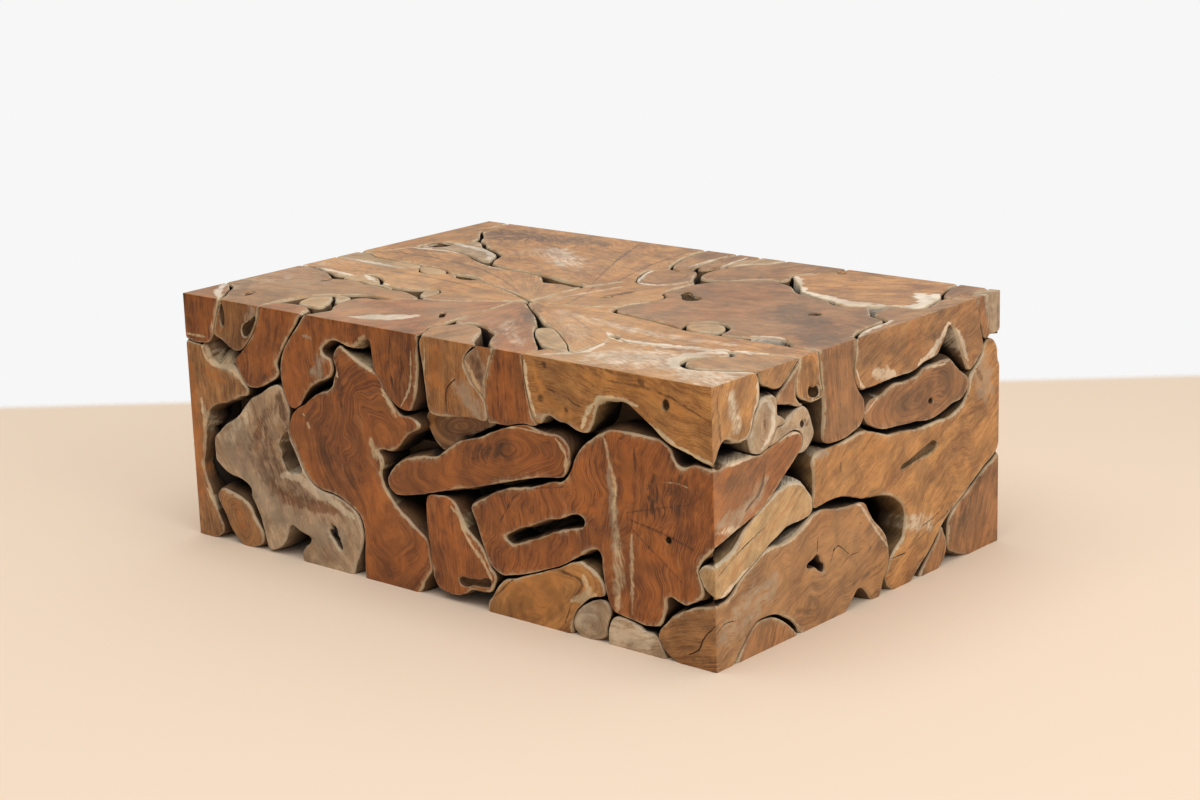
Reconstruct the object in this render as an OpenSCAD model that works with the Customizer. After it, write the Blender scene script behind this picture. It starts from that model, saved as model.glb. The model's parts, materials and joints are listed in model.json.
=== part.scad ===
// Root-wood mosaic coffee table: sawn root blocks set edge to edge round a light inner frame.
// +X runs along the long side, -Y is the front, the origin is at floor level under the centre.

/* [Overall size] */
// Length of the table along X
table_w = 1200; // [1100:10:1300]
// Depth of the table along Y
table_d = 800; // [740:10:880]
// Height of the table top above the floor
table_h = 450; // [430:5:500]

/* [Blocks] */
// Thickness of every block, measured square to the face it shows
block_t = 64; // [50:1:80]
// Width of the seam scribed between two neighbouring blocks
seam = 2; // [1:0.5:3]
// How far the inner root log is set back behind the front face
log_setback = 24; // [16:1:34]
// Depth of the blind knot holes and bark pockets
knot_depth = 22; // [10:1:30]

/* [Inner frame] */
// Side of the square corner posts
post = 46; // [40:1:60]
// Height of the posts' feet above the floor
post_lift = 8; // [4:1:14]
// Thickness of the rails, square to the wall
rail_t = 28; // [22:1:34]
// Height of each rail's section
rail_h = 48; // [40:1:54]
// Height of the underside of the lowest rails
low_rail_z = 16; // [12:1:20]
// Height of the underside of the middle rails
mid_rail_z = 200; // [190:1:210]
// Thickness of the tenons on the rail ends
tenon_t = 10; // [8:1:14]
// Length of the tenons on the rail ends
tenon_l = 14; // [10:1:15]
// Play round a tenon in its mortise
tenon_play = 0.3; // [0.2:0.1:0.5]
// Thickness of the slats under the top
slat_t = 18; // [12:1:24]
// Number of slats under the top
slat_count = 10; // [8:1:12]
// Gap between two slats
slat_gap = 18; // [8:1:24]

/* [Hidden] */

// Size of the drawing that the outlines below are laid out on, stretched to the table's size
DRAWN = [1200, 800, 450];
WALLS = ["front", "right", "back", "left"];
FACES = ["front", "right", "back", "left", "top"];
// Points drawn along each curved stretch between two outline points
CURVE_STEPS = 3;
// Outline points are kept to this fine grid, so that the mitred shares of a block meet exactly
GRID = 1 / 64;

half_w = table_w / 2;
half_d = table_d / 2;
inner_w = table_w - 2 * block_t;
inner_d = table_d - 2 * block_t;
inner_top = table_h - block_t;
rail_top = inner_top - slat_t;

RAIL_HEIGHTS = [low_rail_z, mid_rail_z, rail_top - rail_h];
// Shoulder above and below a tenon
shoulder = 8;

// Tones of the wood
red_teak = "#8d5530";
gold_teak = "#b07c48";
brown_teak = "#94683f";
grey_teak = "#9c8266";
dark_teak = "#5e3d26";
pale_sap = "#c6a67b";
frame_wood = "#6b4a2e";

// Outline maths: a point [x, y] is on a smooth bend, a point [x, y, 1] is a sawn corner
function flat(p) = [p.x, p.y];
function is_corner(p) = len(p) > 2;
function unit(v) = v / max(norm(v), 1e-9);
function at(pts, i) = pts[(i + len(pts)) % len(pts)];
function bend_dir(pts, i, chord) =
    is_corner(at(pts, i)) ? unit(chord) : unit(flat(at(pts, i + 1)) - flat(at(pts, i - 1)));
function snapped(p) = [round(p.x / GRID), round(p.y / GRID)] * GRID;
function hermite(a, b, ta, tb, s) =
    (2 * s ^ 3 - 3 * s ^ 2 + 1) * a + (s ^ 3 - 2 * s ^ 2 + s) * ta
    + (-2 * s ^ 3 + 3 * s ^ 2) * b + (s ^ 3 - s ^ 2) * tb;
function smooth(pts) = [
    for (i = [0:len(pts) - 1])
        let (a = flat(pts[i]), b = flat(at(pts, i + 1)), chord = b - a,
            straight = is_corner(pts[i]) && is_corner(at(pts, i + 1)),
            steps = straight ? 1 : CURVE_STEPS,
            ta = bend_dir(pts, i, chord) * norm(chord),
            tb = bend_dir(pts, i + 1, chord) * norm(chord))
        for (k = [0:steps - 1]) snapped(hermite(a, b, ta, tb, k / steps))];
function sum(v, i = 0) = i < len(v) ? v[i] + sum(v, i + 1) : 0;
function turning(p) = sign(sum([for (i = [0:len(p) - 1]) cross(p[i], at(p, i + 1))]));
function grown(p, d) = let (side = turning(p)) [
    for (i = [0:len(p) - 1])
        let (t = unit(at(p, i + 1) - at(p, i - 1))) snapped(p[i] + side * d * [t.y, -t.x])];
function low(p) = [min([for (q = p) q.x]), min([for (q = p) q.y])];
function high(p) = [max([for (q = p) q.x]), max([for (q = p) q.y])];
function meets(p, q) =
    low(p).x < high(q).x + seam && low(q).x < high(p).x + seam
    && low(p).y < high(q).y + seam && low(q).y < high(p).y + seam;
function drawn_scale(face) =
    face == "top" ? [table_w / DRAWN.x, table_d / DRAWN.y]
    : face == "left" || face == "right" ? [table_d / DRAWN.y, table_h / DRAWN.z]
    : [table_w / DRAWN.x, table_h / DRAWN.z];
function laid_out(pts, face) =
    let (k = drawn_scale(face)) smooth([for (p = pts) is_corner(p)
        ? [p.x * k.x, p.y * k.y, 1] : [p.x * k.x, p.y * k.y]]);

// Each face is a list of blocks in the order they are fitted: every block is scribed to the ones
// above it in its list. A row is [block, outline, seam factor, holes]. Seam factor 0 is a closed
// joint, and holes are outlines cut through the block.
FRONT = [
    ["near_corner_block", [[219, 450, 1], [223, 414], [230, 378], [240, 346], [249, 339],
        [257, 343], [264, 354], [275, 356], [290, 350], [304, 350], [318, 345], [331, 340],
        [343, 339], [354, 343], [362, 356], [368, 374], [375, 390], [385, 398], [400, 401],
        [418, 403], [436, 399], [453, 389], [474, 376], [492, 364], [508, 352], [526, 345],
        [549, 340], [573, 332], [600, 326, 1], [600, 450, 1]], 1, []],
    ["hand_block", [[93, 174], [105, 184], [124, 195], [149, 209], [175, 220], [200, 226],
        [227, 231], [250, 239], [274, 248], [294, 252], [306, 262], [317, 280], [325, 298],
        [336, 314], [356, 330], [375, 341], [395, 351], [420, 354], [450, 354], [480, 354],
        [500, 351], [516, 342], [524, 327], [533, 318], [547, 317], [562, 323], [582, 323],
        [600, 322, 1], [600, 198, 1], [586, 186], [575, 172], [567, 159], [569, 148],
        [575, 134], [575, 119], [567, 110], [554, 102], [541, 96], [528, 99], [512, 104],
        [503, 99], [501, 84], [497, 66], [489, 52], [474, 48], [456, 46], [436, 50],
        [412, 53], [396, 56], [387, 67], [381, 84], [377, 102], [374, 124], [373, 142],
        [366, 152], [352, 150], [338, 142], [322, 131], [302, 119], [283, 109], [262, 101],
        [240, 92], [212, 82], [180, 73], [156, 69], [142, 75], [132, 83], [124, 98],
        [117, 112], [111, 127], [105, 145], [97, 162]], 1,
        [[[171, 131], [168, 138], [177, 144], [199, 157], [221, 165], [242, 175], [264, 184],
        [286, 188], [302, 195], [316, 201], [330, 202], [339, 196], [338, 188], [328, 181],
        [312, 177], [294, 172], [272, 163], [249, 151], [221, 140], [199, 132], [183, 127]]]],
    ["log_slice", [[-100, 186], [-90, 206], [-62, 227], [-20, 241], [16, 247], [40, 261],
        [70, 281], [118, 297], [177, 322], [224, 333], [262, 326], [290, 325], [308, 312],
        [310, 282], [298, 260], [250, 251], [210, 240], [160, 226], [105, 210], [55, 197],
        [0, 181], [-40, 171], [-80, 164], [-95, 173]], 1, []],
    ["red_root", [[-201, 406], [-186, 400], [-170, 392], [-148, 382], [-124, 373],
        [-107, 362], [-97, 345], [-85, 328], [-72, 314], [-60, 306], [-42, 305], [-18, 295],
        [-26, 286], [-45, 276], [-58, 264], [-71, 250], [-88, 240], [-112, 239], [-121, 234],
        [-113, 224], [-110, 212], [-115, 198], [-112, 182], [-104, 167], [-92, 151],
        [-76, 137], [-54, 123], [-36, 110], [-18, 99], [-10, 86], [-8, 68], [-5, 47],
        [-14, 35], [-25, 22], [-32, 8], [-38, 0, 1], [-168, 0, 1], [-167, 32], [-164, 64],
        [-165, 94], [-173, 111], [-189, 123], [-207, 131], [-224, 137], [-245, 140],
        [-266, 142], [-283, 148], [-297, 160], [-308, 174], [-316, 190], [-325, 206],
        [-335, 221], [-339, 237], [-337, 251], [-331, 265], [-320, 276], [-300, 288],
        [-277, 304], [-257, 315], [-236, 323], [-224, 333], [-218, 347], [-212, 362],
        [-217, 380], [-213, 395]], 1, []],
    ["arch_arm", [[-284, 450, 1], [-305, 425], [-321, 407], [-337, 387], [-348, 367],
        [-353, 345], [-351, 317], [-344, 298], [-334, 280], [-322, 277], [-311, 283],
        [-301, 297], [-290, 312], [-277, 324], [-256, 336], [-228, 348], [-221, 362],
        [-226, 377], [-242, 385], [-246, 393], [-236, 404], [-222, 412], [-200, 412],
        [-176, 406], [-162, 411], [-150, 421], [-138, 426], [-127, 424], [-123, 400],
        [-119, 377], [-110, 363], [-99, 346], [-86, 333], [-72, 322], [-56, 316], [-40, 317],
        [-32, 330], [-25, 346], [-20, 366], [-16, 390], [-15, 450, 1]], 1, []],
    ["bell_block", [[-399, 450, 1], [-294, 450, 1], [-308, 429], [-327, 406], [-341, 386],
        [-354, 368], [-363, 350], [-359, 334], [-378, 318], [-408, 304], [-436, 299],
        [-451, 309], [-465, 330], [-470, 344], [-460, 355], [-444, 369], [-428, 386],
        [-413, 405], [-403, 428]], 1, []],
    ["left_corner_block", [[-600, 450, 1], [-503, 450, 1], [-511, 429], [-518, 408],
        [-528, 384], [-540, 368], [-562, 363], [-582, 364], [-600, 367, 1]], 1, []],
    ["grey_edge_block", [[-501, 450, 1], [-401, 450, 1], [-405, 428], [-418, 402],
        [-436, 380], [-452, 366], [-466, 361], [-484, 366], [-502, 376], [-522, 384],
        [-526, 398], [-516, 412], [-508, 430]], 1, []],
    ["short_block", [[-9, 439], [-3, 450, 1], [118, 450, 1], [106, 442], [96, 432],
        [90, 420], [94, 406], [105, 389], [118, 376], [131, 365], [136, 350], [136, 327],
        [108, 326], [77, 324], [49, 320], [24, 318], [8, 321], [3, 333], [1, 352],
        [-2, 376], [-5, 401], [-9, 425]], 1, []],
    ["front_arm", [[160, 450, 1], [217, 450, 1], [221, 418], [226, 391], [232, 366],
        [239, 349], [245, 339], [232, 332], [217, 328], [196, 326], [175, 325], [155, 325],
        [139, 326], [137, 346], [136, 370], [137, 392], [143, 412], [152, 434]], 1, []],
    ["grey_root", [[-542, 162], [-541, 190], [-528, 204], [-510, 219], [-494, 227],
        [-468, 246], [-451, 265], [-438, 277], [-420, 286], [-400, 298], [-384, 308],
        [-366, 314], [-351, 308], [-341, 288], [-338, 265], [-341, 236], [-336, 218],
        [-325, 202], [-317, 187], [-309, 171], [-299, 158], [-283, 145], [-262, 139],
        [-240, 137], [-220, 133], [-204, 127], [-186, 118], [-176, 107], [-170, 92],
        [-168, 73], [-173, 54], [-182, 36], [-192, 20], [-197, 0, 1], [-323, 0, 1],
        [-326, 10], [-320, 23], [-307, 34], [-301, 45], [-312, 50], [-329, 54], [-345, 61],
        [-356, 59], [-363, 45], [-370, 29], [-380, 17], [-393, 8], [-405, 4], [-414, 7],
        [-419, 20], [-424, 40], [-431, 64], [-444, 86], [-451, 98], [-451, 110],
        [-461, 119], [-479, 125], [-498, 127], [-515, 132], [-530, 141], [-541, 151]], 1,
        [[[-252, 72], [-243, 71], [-232, 60], [-222, 47], [-224, 38], [-233, 42],
        [-243, 55], [-252, 64]]]],
    ["left_wall_corner", [[-600, 364, 1], [-584, 363], [-562, 360], [-550, 356],
        [-545, 345], [-537, 333], [-520, 327], [-495, 327], [-476, 329], [-464, 321],
        [-453, 308], [-442, 294], [-446, 283], [-464, 278], [-484, 270], [-504, 262],
        [-526, 256], [-545, 248], [-557, 236], [-565, 220], [-569, 200], [-571, 178],
        [-574, 157], [-579, 134], [-574, 111], [-567, 97], [-560, 79], [-553, 61],
        [-544, 42], [-537, 26], [-537, 14], [-546, 6], [-557, 0, 1], [-600, 0, 1]], 1, []],
    ["pebble", [[-539, 92], [-528, 97], [-510, 95], [-489, 90], [-467, 82], [-454, 72],
        [-447, 57], [-436, 45], [-427, 32], [-430, 17], [-442, 6], [-456, 0, 1],
        [-482, 0, 1], [-498, 11], [-511, 23], [-519, 37], [-527, 52], [-538, 67],
        [-543, 80]], 1, []],
    ["low_wedge_block", [[-8, 175], [2, 179], [27, 182], [44, 180], [56, 171], [65, 158],
        [78, 136], [96, 122], [112, 110], [122, 96], [131, 78], [141, 62], [138, 46],
        [130, 34], [108, 31], [86, 29], [67, 18], [46, 12], [24, 14], [8, 20], [0, 32],
        [-3, 52], [-6, 79], [-9, 101], [-11, 126], [-12, 155]], 1, []],
    ["heart_block", [[122, 0, 1], [124, 17], [133, 28], [142, 42], [152, 54], [165, 63],
        [184, 69], [210, 79], [234, 89], [258, 98], [283, 109], [303, 118], [319, 124],
        [330, 126], [340, 121], [356, 114], [368, 106], [375, 97], [378, 84], [374, 77],
        [354, 71], [340, 64], [327, 52], [315, 39], [309, 24], [305, 0, 1]], 1, []],
    ["floor_knob", [[311, 12], [311, 27], [316, 40], [328, 51], [342, 60], [356, 67],
        [370, 71], [382, 67], [388, 54], [384, 39], [380, 26], [377, 13], [366, 5],
        [352, 0, 1], [325, 0, 1]], 1, []],
    ["floor_chip", [[383, 0, 1], [382, 14], [385, 30], [392, 44], [403, 50], [416, 50],
        [430, 48], [446, 43], [458, 38], [478, 34], [490, 22], [499, 0, 1]], 1, []],
    ["bottom_corner_root", [[485, 36], [489, 47], [499, 58], [510, 69], [525, 79],
        [540, 88], [556, 96], [575, 101], [600, 105, 1], [600, 0, 1], [524, 0, 1],
        [508, 6], [496, 15], [488, 26]], 1, []],
    ["corner_stick", [[568, 152], [570, 160], [577, 168], [600, 170, 1], [600, 119, 1],
        [585, 126], [576, 136]], 1, []],
    ["side_infill", [[93, 424], [121, 450, 1], [157, 450, 1], [148, 425], [140, 395],
        [138, 350], [120, 368], [98, 395]], 0, []],
    ["inner_root_log", [[-24, 304], [-12, 274], [8, 254], [30, 252], [50, 266], [75, 284],
        [105, 300], [130, 312], [142, 326], [110, 334], [60, 330], [10, 330], [-10, 322]],
        0, []],
];
RIGHT = [
    ["near_corner_block", [[-400, 450, 1], [-290, 450, 1], [-284, 440], [-281, 426],
        [-281, 411], [-286, 398], [-295, 387], [-300, 376], [-303, 363], [-311, 354],
        [-323, 349], [-337, 351], [-352, 357], [-366, 361], [-376, 358], [-384, 348],
        [-391, 335], [-400, 326, 1]], 1, []],
    ["hand_block", [[-400, 322, 1], [-378, 318], [-358, 321], [-328, 322], [-301, 321],
        [-283, 318], [-266, 322], [-245, 326], [-220, 333], [-201, 336], [-186, 333],
        [-176, 325], [-174, 312], [-182, 299], [-198, 286], [-217, 273], [-236, 259],
        [-254, 246], [-273, 236], [-295, 226], [-317, 219], [-342, 213], [-370, 205],
        [-400, 198, 1]], 1, []],
    ["right_arm", [[-177, 450, 1], [-130, 450, 1], [-127, 430], [-125, 408], [-121, 390],
        [-119, 376], [-128, 372], [-144, 371], [-158, 375], [-172, 381], [-184, 390],
        [-188, 402], [-186, 416], [-181, 432]], 1, []],
    ["dark_slab", [[-126, 450, 1], [-27, 450, 1], [-30, 424], [-35, 399], [-31, 380],
        [-20, 363], [-6, 345], [-4, 325], [-12, 308], [-25, 300], [-46, 295], [-68, 292],
        [-90, 292], [-110, 296], [-119, 306], [-118, 323], [-115, 346], [-116, 372],
        [-120, 396], [-123, 422]], 1, []],
    ["big_side_root", [[-144, 228], [-143, 252], [-147, 272], [-138, 283], [-120, 287],
        [-95, 287], [-70, 288], [-45, 291], [-22, 293], [0, 291], [22, 285], [44, 277],
        [68, 270], [100, 267], [140, 262], [175, 261], [212, 262], [245, 260], [262, 264],
        [280, 270], [293, 280], [304, 293], [307, 310], [316, 322], [332, 335], [346, 348],
        [353, 362], [362, 370], [376, 370], [387, 361], [394, 348], [395, 334],
        [400, 322, 1], [400, 176, 1], [394, 166], [377, 156], [355, 147], [333, 135],
        [311, 124], [292, 113], [271, 103], [249, 91], [226, 76], [206, 58], [189, 42],
        [171, 29], [150, 16], [130, 0, 1], [74, 0, 1], [62, 14], [56, 28], [62, 42],
        [72, 56], [86, 69], [104, 80], [111, 98], [115, 122], [110, 135], [98, 148],
        [82, 158], [60, 168], [32, 175], [4, 178], [-14, 180], [-32, 187], [-52, 194],
        [-76, 198], [-107, 199], [-130, 197], [-145, 199]], 1, []],
    ["bottom_corner_root", [[-400, 105, 1], [-386, 106], [-366, 110], [-350, 120],
        [-338, 131], [-320, 140], [-298, 150], [-276, 161], [-262, 165], [-242, 162],
        [-220, 162], [-201, 165], [-186, 170], [-170, 179], [-154, 185], [-138, 189],
        [-122, 190], [-106, 187], [-86, 182], [-61, 178], [-36, 176], [-14, 175],
        [-2, 169], [8, 153], [22, 134], [38, 120], [50, 108], [59, 92], [64, 72], [64, 54],
        [58, 39], [49, 26], [38, 0, 1], [14, 0, 1], [4, 14], [-10, 26], [-25, 29],
        [-34, 22], [-46, 10], [-60, 0, 1], [-182, 0, 1], [-198, 20], [-214, 32],
        [-232, 43], [-252, 51], [-275, 54], [-297, 53], [-314, 43], [-329, 29],
        [-344, 14], [-356, 0, 1], [-400, 0, 1]], 1,
        [[[-165, 107], [-150, 113], [-136, 118], [-127, 112], [-124, 104], [-117, 97],
        [-118, 85], [-130, 90], [-140, 97], [-154, 100]]]],
    ["corner_stick", [[-400, 170, 1], [-375, 174], [-352, 183], [-336, 195], [-321, 208],
        [-302, 220], [-284, 229], [-264, 238], [-244, 247], [-222, 252], [-200, 253],
        [-184, 251], [-172, 244], [-160, 231], [-150, 219], [-147, 206], [-150, 194],
        [-160, 188], [-180, 186], [-201, 186], [-222, 184], [-240, 176], [-264, 168],
        [-286, 157], [-310, 145], [-332, 136], [-352, 125], [-366, 117], [-381, 114],
        [-400, 119, 1]], 1, []],
    ["saddle_block", [[-24, 450, 1], [-28, 420], [-31, 396], [-30, 379], [-20, 367],
        [-2, 362], [30, 361], [70, 362], [105, 362], [130, 361], [150, 365], [168, 370],
        [190, 372], [207, 376], [220, 388], [232, 403], [242, 416], [252, 417], [262, 406],
        [271, 389], [281, 369], [289, 351], [297, 336], [306, 328], [318, 332], [331, 341],
        [342, 351], [349, 362], [345, 381], [338, 398], [334, 416], [330, 433],
        [326, 450, 1]], 1, []],
    ["leaf_slice", [[-3, 318], [2, 330], [14, 338], [30, 340], [48, 342], [66, 349],
        [84, 353], [110, 350], [136, 351], [152, 354], [168, 359], [192, 362], [224, 361],
        [248, 358], [260, 348], [275, 336], [292, 325], [302, 315], [302, 300], [292, 289],
        [275, 282], [254, 281], [236, 276], [210, 270], [180, 268], [149, 273], [114, 276],
        [80, 279], [50, 282], [27, 290], [8, 300]], 1, []],
    ["right_edge_block", [[-281, 450, 1], [-180, 450, 1], [-189, 440], [-204, 429],
        [-220, 417], [-234, 412], [-248, 415], [-262, 421], [-274, 427], [-279, 437]],
        1, []],
    ["ear_block", [[-286, 391], [-280, 401], [-266, 406], [-250, 406], [-240, 399],
        [-237, 386], [-236, 372], [-225, 366], [-217, 358], [-226, 353], [-240, 352],
        [-247, 342], [-256, 331], [-268, 322], [-284, 318], [-298, 323], [-304, 334],
        [-307, 350], [-303, 366], [-296, 381]], 1, []],
    ["shoulder_block", [[-258, 326], [-246, 344], [-232, 352], [-214, 356], [-200, 364],
        [-184, 370], [-170, 371], [-160, 364], [-153, 352], [-147, 336], [-143, 322],
        [-149, 310], [-162, 300], [-176, 296], [-210, 304]], 1, []],
    ["far_bottom_corner", [[400, 160, 1], [380, 151], [356, 142], [334, 129], [312, 119],
        [290, 108], [268, 98], [251, 86], [243, 70], [241, 50], [242, 34], [251, 22],
        [266, 14], [285, 6], [300, 0, 1], [400, 0, 1]], 1, []],
    ["far_corner_block", [[356, 450, 1], [400, 450, 1], [400, 379, 1], [385, 377],
        [373, 380], [364, 393], [359, 411], [356, 430]], 1, []],
    ["side_infill", [[-239, 396], [-222, 410], [-205, 424], [-190, 434], [-178, 440],
        [-181, 428], [-187, 416], [-190, 401], [-189, 390], [-180, 379], [-172, 373],
        [-188, 373], [-203, 380], [-220, 384], [-234, 388]], 0, []],
    ["side_infill", [[328, 450, 1], [354, 450, 1], [356, 432], [358, 414], [364, 396],
        [372, 382], [358, 372], [349, 380], [344, 394], [337, 408], [332, 428]], 0, []],
    ["side_infill", [[155, 0, 1], [171, 19], [187, 32], [205, 47], [216, 62], [222, 72],
        [229, 60], [236, 47], [238, 34], [234, 20], [224, 8], [214, 0, 1]], 1, []],
    ["side_infill", [[-350, 0, 1], [-340, 13], [-326, 27], [-311, 41], [-297, 50],
        [-272, 51], [-247, 45], [-222, 30], [-203, 14], [-191, 0, 1]], 1, []],
];
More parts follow.
